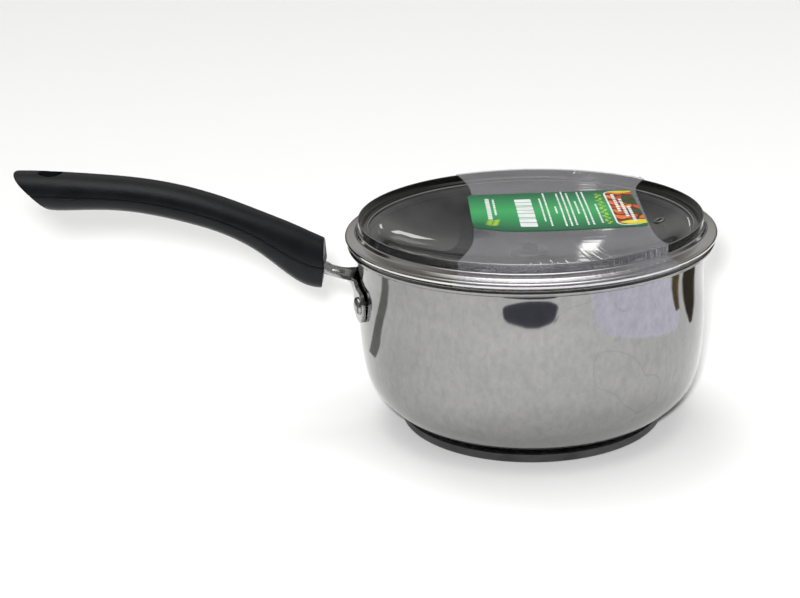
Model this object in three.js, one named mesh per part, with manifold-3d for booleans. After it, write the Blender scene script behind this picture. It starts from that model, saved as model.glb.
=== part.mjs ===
// A small saucepan with its glass lid, as sold: the lid is turned over, so its steel skirt stands up,
// its glass dome and knob hang inside the pan, and a band of clear film with a label crosses it.
// Millimetres, +Z up. The origin is the centre of the base's underside and the handle points along -X.
import * as THREE from 'three';
import { mergeVertices } from 'three/addons/utils/BufferGeometryUtils.js';
import Module from 'manifold-3d';

const wasm = await Module();
wasm.setup();

// ---- Driving dimensions

const ROUND = 44; // facets round the pan and the lid
const MEDIUM_ROUND = 28; // facets round the knob
const SMALL_ROUND = 16; // facets round screws, rivets and the eyelet
const GAP = 0.25; // clearance between pieces that touch
const CUT_MARGIN = 5; // how far a cutting tool runs past what it cuts

// Base: an aluminium core in a magnetic steel cup
const BASE_RADIUS = 68.6;
const BASE_HEIGHT = 5;
const BASE_EDGE_RADIUS = 2.5;
const BASE_SHEET = 0.6;

// Pan
const PAN_WALL = 0.8;
const PAN_FLOOR_Z = BASE_HEIGHT + GAP;
const PAN_SIDE = [
  [60, PAN_FLOOR_Z], [68.5, 8.4], [76.5, 14.7], [83, 21.5], [86.6, 30], [88.4, 41],
  [89.2, 54], [89, 66], [88.4, 78], [88.9, 86], [90.3, 94],
]; // radius and height of the outer face, from the floor's edge to under the rim
const PAN_SIDE_STEPS = 11;
const RIM_RADIUS = 91.85; // centre of the rolled bead
const RIM_Z = 96.7;
const RIM_BEAD = 1.95;

// Handle bracket: a foot on the wall, and a strap that runs into the grip
const FOOT_INNER_RADIUS = 89.5;
const FOOT_SHEET = 2;
const FOOT_WIDTH = 63;
const FOOT_BOTTOM_Z = 61;
const FOOT_SHOULDER_Z = 71; // where its upright ends start to round over
const FOOT_TOP_Z = 79.5; // where its sloping upper edges meet the strap
const FOOT_CORNER = 6;
const FOOT_HALF_ANGLE = 25; // degrees, past the ends of its outline
const STRAP_SHEET = 2;
const STRAP_WIDTH = 13;
const TONGUE_SLOPE = THREE.MathUtils.degToRad(27);
const TONGUE_START = [105.5, 81.9]; // distance from the pan's axis and height, at the grip's front
const TONGUE_END = 143;
const STRAP_RISE_Z = 65.8; // where the strap starts to leave the wall
const STRAP_BEND = [92.9, 76.6]; // between the foot and the grip
const STRAP_BEND_BELOW = [90.5, 75]; // controls of the two curved stretches
const STRAP_BEND_BEYOND = [95, 78.6];

// Rivets
const RIVET_ANGLE = 16.5; // degrees to each side of the handle
const RIVET_Z = 70;
const RIVET_SHANK_RADIUS = 2.3;
const RIVET_HEAD_RADIUS = 4.6;
const RIVET_HEAD_HEIGHT = 2.4;
const RIVET_INNER_HEAD = 1.2;
const RIVET_SEAT = 87.35; // distance from the pan's axis to the inner head's face

// Grip: sections from the front face to the tip. Each row holds the top point's distance from the
// pan's axis and its height, then the same for the bottom point, then half the width.
const GRIP_SECTIONS = [
  [105.6, 98.2, 107.9, 72.6, 10.6],
  [112, 101.4, 112.6, 73.4, 11.2],
  [122, 106.4, 121.5, 77.9, 11.6],
  [135, 112.1, 136.5, 90.8, 11.9],
  [152, 119.3, 155, 102.6, 12.1],
  [172, 126.4, 175, 110, 12.3],
  [195, 131.8, 197, 115.6, 12.5],
  [220, 135.1, 217, 118, 12.7],
  [240, 137, 232.5, 118.2, 12.7],
  [251.5, 137.9, 239.5, 118.3, 12.5],
  [263, 138.4, 244.2, 118.8, 12],
];
const GRIP_STEPS = 24;
const GRIP_POINTS = 16; // points round one section
const GRIP_TOP_POWER = 0.9; // powers of the superellipse: 1 is an ellipse, smaller is squarer
const GRIP_BOTTOM_POWER = 0.72;
const HANG_HOLE_AT = 244;
const HANG_HOLE_RADIUS = 6;
const SOCKET_WIDTH = 13.6;
const SOCKET_HEIGHT = 2.6;
const SOCKET_MARGIN = 2; // room past the strap's end, and past the grip's front face

// Grip screw, square nut and lock washer. Heights are measured down from the strap's middle.
const SCREW_AT = 127;
const GRIP_SCREW_RADIUS = 2;
const GRIP_SCREW_CLEARANCE = 0.3;
const GRIP_SCREW_TIP = -5.4;
const GRIP_FLOOR = 4.3;
const WASHER_HEIGHT = 0.8;
const WASHER_RADIUS = 3.5;
const GRIP_HEAD_RADIUS = 3.5;
const HEAD_HEIGHT = 2.4;
const COUNTERBORE_RADIUS = 4;
const NUT_SIDE = 7;
const NUT_HEIGHT = 3.2;
const NUT_CHANNEL_WIDTH = 7.8;
const NUT_CHANNEL_TOP = 6;

// Lid, turned over
const LID_REST_Z = 99.1; // underside of the flange, a gap above the pan's bead
const SKIRT_RADIUS = 88;
const SKIRT_TOP_Z = 109.3;
const SKIRT_SHEET = 0.8;
const FLANGE_RADIUS = 94.7;
const FLANGE_TOP_Z = 101.9;
const FLANGE_BEAD = 1.4;
// The skirt's curve out to the flange
const SKIRT_FOOT = [[90.6, FLANGE_TOP_Z], [88.9, 102.5], [88.3, 103.6], [SKIRT_RADIUS, 104.6]];
const EDGE_ROUNDING = 0.3;
const LIP_RADIUS = 83.2;
const LIP_SHEET = 0.6;
const CHANNEL_RADIUS = 86.2;
const CHANNEL_TOP_Z = 104.7;
const GASKET_SHEET = 0.45;
const GASKET_LIP = 0.6; // how far it shows inside the steel lips
const GLASS_THICKNESS = 3.1;
const GLASS_EDGE_RADIUS = 85.2;
const GLASS_EDGE_Z = 102.2; // middle of the sheet
const DOME_RADIUS = 81;
const DOME_DEPTH = 15.5;
const DOME_STEPS = 7;
const KNOB_HOLE_RADIUS = 3.2;

// Steam vent
const VENT_DISTANCE = 69.4;
const VENT_ANGLE = THREE.MathUtils.degToRad(10);
const VENT_HOLE_RADIUS = 2.2;
const EYELET_BORE = 1.3;
const EYELET_BARREL = 1.9;
const EYELET_FLANGE = 3.1;
const EYELET_SHEET = 0.5;

// Knob and its fastening
const KNOB_END_Z = 59.8;
const KNOB_SIDE = [
  [0, 0], [11, 0.5], [18.6, 2.2], [21.4, 5.4], [19.6, 9.2], [14.6, 14], [11.6, 19.4], [11.4, 24],
]; // radius, and height above the knob's end
const KNOB_NECK_RADIUS = 11.2;
const KNOB_BORE_RADIUS = 4.3;
const KNOB_BORE_END_Z = 70;
const INSERT_RADIUS = 4.05;
const INSERT_BORE = 2.55;
const KNOB_SCREW_RADIUS = 2.3;
const KNOB_SCREW_HEAD = 4.3;
const KNOB_SCREW_END_Z = 72;
const KNOB_SEAL_RADIUS = 8.5;
const KNOB_SEAL_HEIGHT = 0.8;
const KNOB_WASHER_RADIUS = 9.5;
const RECESS_WIDTH = 1;
const RECESS_DEPTH = 1.3;

// Film band and label
const FILM_SHEET = 0.35;
const FILM_SLACK = 0.35;
const FILM_LEFT = [
  [-44, 100], [-36, 78], [-30.1, 52], [-28.7, 15], [-28.7, -30], [-30.5, -56], [-37, -80], [-44, -100],
]; // the band's left border in plan, from the back to the front
const FILM_RIGHT = [
  [86, -92], [70, -76], [60, -56], [57.8, -30], [58, 20], [60.5, 46], [68, 62], [84, 80],
]; // its right border, from the front to the back
const FILM_STEPS = 14;
// Where it leaves the skirt, and where it meets the flange
const FILM_FOLDS = [[SKIRT_RADIUS, 104.2], [90.2, FLANGE_TOP_Z]];
const LABEL_WIDTH = 86;
const LABEL_DEPTH = 67;
const LABEL_SHEET = 0.4;
const LABEL_CORNER = 3;
const LABEL_AT = [13, 1.5]; // its middle, in plan
const LABEL_TURN = THREE.MathUtils.degToRad(1.8);

// ---- Materials

function material(color, roughness, metalness, more = {}) {
  return new THREE.MeshStandardMaterial({ color, roughness, metalness, ...more });
}

const polishedSteel = material(0xb9b7b4, 0.16, 1);
const satinSteel = material(0x8e8f92, 0.35, 1);
const aluminium = material(0xb4b6b8, 0.4, 1);
const phenolic = material(0x17181b, 0.55, 0);
const brass = material(0xb08d45, 0.3, 1);
const silicone = material(0x5b5d60, 0.6, 0);
const temperedGlass = material(0x9fb0ab, 0.05, 0, { transparent: true, opacity: 0.35 });
const clearFilm = material(0xc9c9d6, 0.12, 0, { transparent: true, opacity: 0.25 });
const printedCard = material(0x3f7f45, 0.5, 0);

// ---- Shape helpers

function point(x, y) {
  return new THREE.Vector2(x, y);
}

function points(pairs) {
  return pairs.map(([x, y]) => point(x, y));
}

// Points on an arc. The angles are in degrees, anticlockwise from +x.
function arc(x, y, radius, from, to, steps) {
  return Array.from({ length: steps + 1 }, (_, i) => {
    const angle = THREE.MathUtils.degToRad(from + ((to - from) * i) / steps);
    return point(x + radius * Math.cos(angle), y + radius * Math.sin(angle));
  });
}

// The same line moved to the left of its direction.
function offsetLine(line, distance) {
  return line.map((at, i) => {
    const before = line[Math.max(i - 1, 0)];
    const after = line[Math.min(i + 1, line.length - 1)];
    const along = after.clone().sub(before).normalize();
    return point(at.x - along.y * distance, at.y + along.x * distance);
  });
}

// A sheet between a line and the same line moved to its left.
function sheetOutline(line, thickness) {
  return [...line, ...offsetLine(line, thickness).reverse()];
}

function weld(geometry) {
  geometry.deleteAttribute('normal');
  geometry.deleteAttribute('uv');
  return mergeVertices(geometry, 1e-3);
}

// Turns an outline of radius and height round the Z axis. The outline runs anticlockwise, and either
// starts and ends on the axis or is closed here.
function turned(outline, facets) {
  const onAxis = outline[0].x === 0;
  const profile = onAxis ? outline : [...outline, outline[0]];
  return weld(new THREE.LatheGeometry(profile, facets).rotateX(Math.PI / 2));
}

function cylinder(radius, from, to) {
  return turned(points([[0, from], [radius, from], [radius, to], [0, to]]), SMALL_ROUND);
}

function ring(inner, outer, from, to, facets) {
  return turned(points([[inner, from], [outer, from], [outer, to], [inner, to]]), facets);
}

// Pushes an outline drawn in X and Z out across Y, centred on the XZ plane.
function extrudedAcross(outline, width) {
  const solid = new THREE.ExtrudeGeometry(new THREE.Shape(outline), { depth: width, bevelEnabled: false });
  return weld(solid.rotateX(Math.PI / 2).translate(0, width / 2, 0));
}

function extrudedUp(shape, from, to) {
  const options = { depth: to - from, bevelEnabled: false, curveSegments: 8 };
  return weld(new THREE.ExtrudeGeometry(shape, options).translate(0, 0, from));
}

// The shape's own x and y become Y and Z, and its depth runs along X.
function extrudedOut(shape, from, to) {
  const options = { depth: to - from, bevelEnabled: false, curveSegments: 4 };
  const [x, y, z] = [new THREE.Vector3(1, 0, 0), new THREE.Vector3(0, 1, 0), new THREE.Vector3(0, 0, 1)];
  const turn = new THREE.Matrix4().makeBasis(y, z, x);
  return weld(new THREE.ExtrudeGeometry(shape, options).applyMatrix4(turn).translate(from, 0, 0));
}

// A solid through a row of rings that have the same number of points.
function loft(rings) {
  const count = rings[0].length;
  const faces = [];
  for (let i = 0; i < rings.length - 1; i += 1) {
    for (let j = 0; j < count; j += 1) {
      const next = (j + 1) % count;
      const [a, b] = [i * count + j, i * count + next];
      faces.push(a, b, b + count, a, b + count, a + count);
    }
  }
  const last = (rings.length - 1) * count;
  for (let j = 1; j < count - 1; j += 1) {
    faces.push(0, j + 1, j);
    faces.push(last, last + j, last + j + 1);
  }
  const geometry = new THREE.BufferGeometry().setFromPoints(rings.flat());
  geometry.setIndex(faces);
  return geometry;
}

function toManifold(geometry) {
  return new wasm.Manifold(new wasm.Mesh({
    numProp: 3,
    vertProperties: geometry.attributes.position.array,
    triVerts: new Uint32Array(geometry.index.array),
  }));
}

function fromManifold(solid) {
  const mesh = solid.getMesh();
  const geometry = new THREE.BufferGeometry();
  geometry.setAttribute('position', new THREE.BufferAttribute(mesh.vertProperties, 3));
  geometry.setIndex(new THREE.BufferAttribute(mesh.triVerts, 1));
  return geometry;
}

function cut(geometry, ...tools) {
  return fromManifold(tools.reduce((solid, tool) => solid.subtract(toManifold(tool)), toManifold(geometry)));
}

function join(first, second) {
  return fromManifold(toManifold(first).add(toManifold(second)));
}

function common(first, second) {
  return fromManifold(toManifold(first).intersect(toManifold(second)));
}

const object = new THREE.Group();

// Adds one named piece, to the object or to a group with a place of its own.
function add(name, geometry, finish, parent = object) {
  const mesh = new THREE.Mesh(geometry, finish);
  mesh.name = name;
  parent.add(mesh);
}

function group(x, y, z, rotation) {
  const frame = new THREE.Group();
  frame.position.set(x, y, z);
  frame.rotation.copy(rotation);
  object.add(frame);
  frame.updateMatrix();
  return frame;
}

// ---- Base and pan

function baseCup() {
  const corner = arc(BASE_RADIUS - BASE_EDGE_RADIUS, BASE_EDGE_RADIUS, BASE_EDGE_RADIUS, -90, 0, 3);
  const inner = arc(
    BASE_RADIUS - BASE_EDGE_RADIUS, BASE_EDGE_RADIUS, BASE_EDGE_RADIUS - BASE_SHEET, 0, -90, 2,
  );
  return turned([
    point(0, 0),
    ...corner,
    point(BASE_RADIUS, BASE_HEIGHT),
    point(BASE_RADIUS - BASE_SHEET, BASE_HEIGHT),
    ...inner,
    point(0, BASE_SHEET),
  ], ROUND);
}

function baseCore() {
  const clear = BASE_SHEET + GAP;
  return turned([
    point(0, clear),
    ...arc(BASE_RADIUS - BASE_EDGE_RADIUS, BASE_EDGE_RADIUS, BASE_EDGE_RADIUS - clear, -90, 0, 2),
    point(BASE_RADIUS - clear, BASE_HEIGHT),
    point(0, BASE_HEIGHT),
  ], ROUND);
}

// The frame of one rivet: Z runs out from the pan's axis, through the wall.
function rivetRotation(side) {
  const azimuth = Math.PI + side * THREE.MathUtils.degToRad(RIVET_ANGLE);
  return new THREE.Euler(0, Math.PI / 2, azimuth, 'ZYX');
}

function rivetHole(side) {
  const hole = cylinder(RIVET_SHANK_RADIUS + GAP, RIVET_SEAT - CUT_MARGIN, FOOT_INNER_RADIUS + CUT_MARGIN);
  const turn = new THREE.Matrix4().makeRotationFromEuler(rivetRotation(side));
  return hole.applyMatrix4(turn).translate(0, 0, RIVET_Z);
}

function panBody() {
  const side = new THREE.SplineCurve(points(PAN_SIDE)).getSpacedPoints(PAN_SIDE_STEPS);
  const outside = [point(0, PAN_FLOOR_Z), ...side];
  const inside = offsetLine(outside, PAN_WALL);
  const bead = arc(RIM_RADIUS, RIM_Z, RIM_BEAD, -120, 180, 6);
  return cut(turned([...outside, ...bead, ...inside.reverse()], ROUND), rivetHole(-1), rivetHole(1));
}

// ---- Handle

// The foot's outline, seen along the handle: rounded ends, and upper edges that rise to the strap.
function footOutline() {
  const [end, strap] = [FOOT_WIDTH / 2, STRAP_WIDTH / 2];
  const shoulder = end - FOOT_CORNER;
  const shoulderTop = FOOT_SHOULDER_Z + FOOT_CORNER;
  const shape = new THREE.Shape();
  shape.absarc(shoulder, FOOT_BOTTOM_Z + FOOT_CORNER, FOOT_CORNER, -Math.PI / 2, 0, false);
  shape.lineTo(end, FOOT_SHOULDER_Z);
  shape.quadraticCurveTo(end, shoulderTop, shoulder, shoulderTop);
  shape.lineTo(strap, FOOT_TOP_Z);
  shape.lineTo(-strap, FOOT_TOP_Z);
  shape.lineTo(-shoulder, shoulderTop);
  shape.quadraticCurveTo(-end, shoulderTop, -end, FOOT_SHOULDER_Z);
  shape.absarc(-shoulder, FOOT_BOTTOM_Z + FOOT_CORNER, FOOT_CORNER, Math.PI, 1.5 * Math.PI, false);
  return shape;
}

function foot() {
  const half = THREE.MathUtils.degToRad(FOOT_HALF_ANGLE);
  const outside = FOOT_INNER_RADIUS + FOOT_SHEET;
  const wall = new THREE.Shape();
  wall.absarc(0, 0, outside, Math.PI - half, Math.PI + half, false);
  wall.absarc(0, 0, FOOT_INNER_RADIUS, Math.PI + half, Math.PI - half, true);
  const plate = extrudedUp(wall, FOOT_BOTTOM_Z - CUT_MARGIN, FOOT_TOP_Z + CUT_MARGIN);
  return common(plate, extrudedOut(footOutline(), -outside - CUT_MARGIN, 0));
}

function strap() {
  const run = FOOT_INNER_RADIUS + FOOT_SHEET / 2;
  const rise = (TONGUE_END - TONGUE_START[0]) * Math.tan(TONGUE_SLOPE);
  const line = new THREE.Path();
  line.moveTo(-run, FOOT_BOTTOM_Z + FOOT_CORNER);
  line.lineTo(-run, STRAP_RISE_Z);
  line.quadraticCurveTo(-STRAP_BEND_BELOW[0], STRAP_BEND_BELOW[1], -STRAP_BEND[0], STRAP_BEND[1]);
  line.quadraticCurveTo(-STRAP_BEND_BEYOND[0], STRAP_BEND_BEYOND[1], -TONGUE_START[0], TONGUE_START[1]);
  line.lineTo(-TONGUE_END, TONGUE_START[1] + rise);
  const middle = line.getPoints(4);
  const upper = offsetLine(middle, STRAP_SHEET / 2);
  return extrudedAcross(sheetOutline(upper, -STRAP_SHEET), STRAP_WIDTH);
}

function bracket() {
  const holes = [-1, 1].map((side) => rivetHole(side));
  const screwHole = cylinder(GRIP_SCREW_RADIUS + GRIP_SCREW_CLEARANCE, -CUT_MARGIN, CUT_MARGIN);
  return cut(join(foot(), strap()), ...holes, inScrewFrame(screwHole));
}

function rivet() {
  const seat = RIVET_SEAT - RIVET_INNER_HEAD;
  const head = FOOT_INNER_RADIUS + FOOT_SHEET + GAP;
  const crown = new THREE.SplineCurve(points([
    [RIVET_HEAD_RADIUS, head],
    [RIVET_HEAD_RADIUS * 0.9, head + RIVET_HEAD_HEIGHT * 0.5],
    [RIVET_HEAD_RADIUS * 0.5, head + RIVET_HEAD_HEIGHT * 0.92],
    [0, head + RIVET_HEAD_HEIGHT],
  ])).getPoints(5);
  return turned([
    ...points([
      [0, seat], [RIVET_HEAD_RADIUS, seat], [RIVET_HEAD_RADIUS, RIVET_SEAT],
      [RIVET_SHANK_RADIUS, RIVET_SEAT], [RIVET_SHANK_RADIUS, head],
    ]),
    ...crown,
  ], SMALL_ROUND);
}

// Places a geometry on the screw's axis: +Z runs down, square to the strap, from the strap's middle.
function inScrewFrame(geometry) {
  return geometry.applyMatrix4(new THREE.Matrix4().makeRotationFromEuler(screwRotation())).translate(
    -SCREW_AT, 0, screwHeight(),
  );
}

function screwRotation() {
  return new THREE.Euler(0, Math.PI + TONGUE_SLOPE, 0);
}

function screwHeight() {
  return TONGUE_START[1] + (SCREW_AT - TONGUE_START[0]) * Math.tan(TONGUE_SLOPE);
}

function gripSection(top, bottom, halfWidth) {
  const middle = top.clone().add(bottom).multiplyScalar(0.5);
  const half = top.clone().sub(bottom).multiplyScalar(0.5);
  return Array.from({ length: GRIP_POINTS }, (_, i) => {
    const angle = (2 * Math.PI * i) / GRIP_POINTS;
    const [c, s] = [Math.cos(angle), Math.sin(angle)];
    const power = s > 0 ? GRIP_TOP_POWER : GRIP_BOTTOM_POWER;
    const across = -Math.sign(c) * Math.abs(c) ** power * halfWidth;
    const up = Math.sign(s) * Math.abs(s) ** power;
    return new THREE.Vector3(-(middle.x + half.x * up), across, middle.y + half.y * up);
  });
}

function hangHole() {
  const [, tipHeight] = GRIP_SECTIONS.at(-1);
  const hole = cylinder(HANG_HOLE_RADIUS, tipHeight - 8 * CUT_MARGIN, tipHeight + CUT_MARGIN);
  return hole.translate(-HANG_HOLE_AT, 0, 0);
}

// The slot for the strap and, above it, the channel for the nut. Both open at the grip's front.
function socket() {
  const length = (TONGUE_END - TONGUE_START[0]) / Math.cos(TONGUE_SLOPE) + 2 * SOCKET_MARGIN;
  const lead = (SCREW_AT - TONGUE_START[0]) / Math.cos(TONGUE_SLOPE) + SOCKET_MARGIN;
  const slot = new THREE.BoxGeometry(length, SOCKET_WIDTH, SOCKET_HEIGHT);
  slot.translate(lead - length / 2, 0, 0);
  const channel = new THREE.BoxGeometry(length, NUT_CHANNEL_WIDTH, NUT_CHANNEL_TOP);
  channel.translate(lead - length / 2, 0, NUT_CHANNEL_TOP / 2);
  const both = join(weld(slot), weld(channel));
  return both.rotateY(TONGUE_SLOPE).translate(-SCREW_AT, 0, screwHeight());
}

function grip() {
  const rows = GRIP_SECTIONS.map(([x, z, lowX, lowZ, half]) => [point(x, z), point(lowX, lowZ), half]);
  const top = new THREE.SplineCurve(rows.map((row) => row[0]));
  const bottom = new THREE.SplineCurve(rows.map((row) => row[1]));
  const width = new THREE.SplineCurve(rows.map((row, i) => point(i, row[2])));
  const rings = Array.from({ length: GRIP_STEPS + 1 }, (_, i) => {
    const t = i / GRIP_STEPS;
    return gripSection(top.getPoint(t), bottom.getPoint(t), width.getPoint(t).y);
  });
  const screwHole = cylinder(GRIP_SCREW_RADIUS + GRIP_SCREW_CLEARANCE, 0, GRIP_FLOOR + CUT_MARGIN);
  const counterbore = cylinder(COUNTERBORE_RADIUS, GRIP_FLOOR, GRIP_FLOOR + 3 * CUT_MARGIN);
  return cut(loft(rings), hangHole(), socket(), inScrewFrame(screwHole), inScrewFrame(counterbore));
}

// A screw along Z with its head's underside at a height, its end at another, and a cross recess.
function screw(radius, headRadius, under, end) {
  const up = Math.sign(under - end);
  const top = under + up * HEAD_HEIGHT;
  const outline = points([
    [0, end], [radius, end], [radius, under], [headRadius, under],
    [headRadius, under + up * HEAD_HEIGHT * 0.55], [headRadius * 0.75, under + up * HEAD_HEIGHT * 0.9],
    [headRadius * 0.4, top], [0, top],
  ]);
  const recess = [[RECESS_WIDTH, headRadius], [headRadius, RECESS_WIDTH]].map(([x, y]) => {
    const bar = new THREE.BoxGeometry(x, y, 2 * RECESS_DEPTH);
    return weld(bar.translate(0, 0, top));
  });
  return cut(turned(outline, SMALL_ROUND), ...recess);
}

function nut() {
  const top = STRAP_SHEET / 2 + GAP;
  const block = weld(new THREE.BoxGeometry(NUT_SIDE, NUT_SIDE, NUT_HEIGHT));
  block.translate(0, 0, -top - NUT_HEIGHT / 2);
  return cut(block, cylinder(GRIP_SCREW_RADIUS + GAP, -top - NUT_HEIGHT - CUT_MARGIN, 0));
}

// ---- Lid

function lidRing() {
  return turned([
    point(LIP_RADIUS, LID_REST_Z),
    ...arc(FLANGE_RADIUS - FLANGE_BEAD, LID_REST_Z + FLANGE_BEAD, FLANGE_BEAD, -90, 90, 4),
    ...points([
      ...SKIRT_FOOT,
      [SKIRT_RADIUS, SKIRT_TOP_Z - EDGE_ROUNDING],
      [SKIRT_RADIUS - EDGE_ROUNDING, SKIRT_TOP_Z],
      [SKIRT_RADIUS - SKIRT_SHEET, SKIRT_TOP_Z],
      [SKIRT_RADIUS - SKIRT_SHEET, CHANNEL_TOP_Z + LIP_SHEET],
      [LIP_RADIUS, CHANNEL_TOP_Z + LIP_SHEET], [LIP_RADIUS, CHANNEL_TOP_Z],
      [CHANNEL_RADIUS, CHANNEL_TOP_Z], [CHANNEL_RADIUS, LID_REST_Z + LIP_SHEET],
      [LIP_RADIUS, LID_REST_Z + LIP_SHEET],
    ]),
  ], ROUND);
}

function gasket() {
  const low = LID_REST_Z + LIP_SHEET + GAP;
  const high = CHANNEL_TOP_Z - GAP;
  const outer = CHANNEL_RADIUS - GAP;
  const inner = LIP_RADIUS - GASKET_LIP;
  return turned(points([
    [inner, low], [outer, low], [outer, high], [inner, high],
    [inner, high - GASKET_SHEET], [outer - GASKET_SHEET, high - GASKET_SHEET],
    [outer - GASKET_SHEET, low + GASKET_SHEET], [inner, low + GASKET_SHEET],
  ]), ROUND);
}

// The radius of the sphere that the glass dome is part of.
function domeSphere() {
  return (DOME_RADIUS ** 2 + DOME_DEPTH ** 2) / (2 * DOME_DEPTH);
}

// The height of the glass's middle, at a distance from the axis.
function domeZ(distance) {
  const sphere = domeSphere();
  return GLASS_EDGE_Z - DOME_DEPTH + sphere - Math.sqrt(sphere ** 2 - distance ** 2);
}

function ventGroup() {
  const lean = Math.asin(VENT_DISTANCE / domeSphere());
  return group(
    VENT_DISTANCE * Math.cos(VENT_ANGLE),
    VENT_DISTANCE * Math.sin(VENT_ANGLE),
    domeZ(VENT_DISTANCE),
    new THREE.Euler(0, -lean, VENT_ANGLE, 'ZYX'),
  );
}

function glass(vent) {
  const dome = Array.from({ length: DOME_STEPS + 1 }, (_, i) => {
    const distance = KNOB_HOLE_RADIUS + ((DOME_RADIUS - KNOB_HOLE_RADIUS) * i) / DOME_STEPS;
    return point(distance, domeZ(distance));
  });
  const middle = [...dome, point(GLASS_EDGE_RADIUS, GLASS_EDGE_Z)];
  const lower = offsetLine(middle, -GLASS_THICKNESS / 2);
  const ventHole = cylinder(VENT_HOLE_RADIUS, -GLASS_THICKNESS, GLASS_THICKNESS).applyMatrix4(vent.matrix);
  return cut(turned(sheetOutline(lower, GLASS_THICKNESS), ROUND), ventHole);
}

function eyelet() {
  const seat = GLASS_THICKNESS / 2 + GAP;
  const end = seat + EYELET_SHEET;
  return turned(points([
    [EYELET_BORE, -end], [EYELET_FLANGE, -end], [EYELET_FLANGE, -seat], [EYELET_BARREL, -seat],
    [EYELET_BARREL, seat], [EYELET_FLANGE, seat], [EYELET_FLANGE, end], [EYELET_BORE, end],
  ]), SMALL_ROUND);
}

function knob(topZ) {
  const side = KNOB_SIDE.map(([radius, height]) => point(radius, KNOB_END_Z + height));
  return turned([
    ...new THREE.SplineCurve(side).getPoints(12),
    point(KNOB_NECK_RADIUS, topZ),
    point(KNOB_BORE_RADIUS, topZ),
    point(KNOB_BORE_RADIUS, KNOB_BORE_END_Z),
    point(0, KNOB_BORE_END_Z),
  ], MEDIUM_ROUND);
}

// ---- Film and label

function filmBand() {
  const inner = SKIRT_TOP_Z + FILM_SLACK;
  const flange = FLANGE_RADIUS + FILM_SLACK;
  const line = points([
    [0, inner], [SKIRT_RADIUS + FILM_SLACK, inner], [FILM_FOLDS[0][0] + FILM_SLACK, FILM_FOLDS[0][1]],
    [FILM_FOLDS[1][0], FILM_FOLDS[1][1] + FILM_SLACK], [flange, FLANGE_TOP_Z + FILM_SLACK],
    [flange, LID_REST_Z],
  ]);
  const cover = turned(sheetOutline(line, FILM_SHEET), ROUND);
  const left = new THREE.SplineCurve(points(FILM_LEFT)).getPoints(FILM_STEPS);
  const right = new THREE.SplineCurve(points(FILM_RIGHT)).getPoints(FILM_STEPS);
  const band = extrudedUp(new THREE.Shape([...left, ...right]), LID_REST_Z - 5, SKIRT_TOP_Z + 5);
  return common(cover, band);
}

function label() {
  const [w, d, r] = [LABEL_WIDTH / 2, LABEL_DEPTH / 2, LABEL_CORNER];
  const outline = [
    ...arc(w - r, d - r, r, 0, 90, 4), ...arc(r - w, d - r, r, 90, 180, 4),
    ...arc(r - w, r - d, r, 180, 270, 4), ...arc(w - r, r - d, r, 270, 360, 4),
  ];
  const low = SKIRT_TOP_Z + FILM_SLACK + FILM_SHEET + GAP;
  const card = extrudedUp(new THREE.Shape(outline), low, low + LABEL_SHEET);
  return card.rotateZ(LABEL_TURN).translate(LABEL_AT[0], LABEL_AT[1], 0);
}

// ---- Assembly

add('base_cap', baseCup(), satinSteel);
add('base_core', baseCore(), aluminium);
add('pan_body', panBody(), polishedSteel);
add('handle_bracket', bracket(), satinSteel);

for (const [name, side] of [['rivet_back', -1], ['rivet_front', 1]]) {
  add(name, rivet(), satinSteel, group(0, 0, RIVET_Z, rivetRotation(side)));
}

add('handle_grip', grip(), phenolic);
const screwFrame = group(-SCREW_AT, 0, screwHeight(), screwRotation());
const washerTop = GRIP_FLOOR + GAP;
const washerEnd = washerTop + WASHER_HEIGHT;
add(
  'handle_screw',
  screw(GRIP_SCREW_RADIUS, GRIP_HEAD_RADIUS, washerEnd + GAP, GRIP_SCREW_TIP),
  satinSteel,
  screwFrame,
);
add(
  'handle_lock_washer',
  ring(GRIP_SCREW_RADIUS + GAP, WASHER_RADIUS, washerTop, washerEnd, SMALL_ROUND),
  satinSteel,
  screwFrame,
);
add('handle_nut', nut(), satinSteel, screwFrame);

const vent = ventGroup();
add('lid_ring', lidRing(), polishedSteel);
add('glass_gasket', gasket(), silicone);
add('lid_glass', glass(vent), temperedGlass);
add('vent_eyelet', eyelet(), satinSteel, vent);

const glassTop = domeZ(0) + GLASS_THICKNESS / 2;
const knobTop = domeZ(0) - GLASS_THICKNESS / 2 - GAP;
const sealBottom = glassTop + GAP;
const plateBottom = sealBottom + KNOB_SEAL_HEIGHT + GAP;
const screwSeat = plateBottom + WASHER_HEIGHT + GAP;
add('lid_knob', knob(knobTop), phenolic);
add(
  'knob_insert',
  ring(INSERT_BORE, INSERT_RADIUS, KNOB_BORE_END_Z + GAP, knobTop - GAP, SMALL_ROUND),
  brass,
);
add(
  'knob_seal',
  ring(KNOB_HOLE_RADIUS, KNOB_SEAL_RADIUS, sealBottom, sealBottom + KNOB_SEAL_HEIGHT, MEDIUM_ROUND),
  silicone,
);
add(
  'knob_washer',
  ring(INSERT_BORE, KNOB_WASHER_RADIUS, plateBottom, plateBottom + WASHER_HEIGHT, MEDIUM_ROUND),
  satinSteel,
);
add('knob_screw', screw(KNOB_SCREW_RADIUS, KNOB_SCREW_HEAD, screwSeat, KNOB_SCREW_END_Z), satinSteel);

add('film_band', filmBand(), clearFilm);
add('label', label(), printedCard);

export default object;
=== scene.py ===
"""The looks of a saucepan whose glass lid is turned over in its rim, under a band of clear film with a label.

Sizes are in millimetres in the named values and the outlines, and in metres in the finished meshes.
"""
import itertools
import math
import random

import bpy
import numpy as np
from mathutils import Euler, Matrix, Vector

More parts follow.
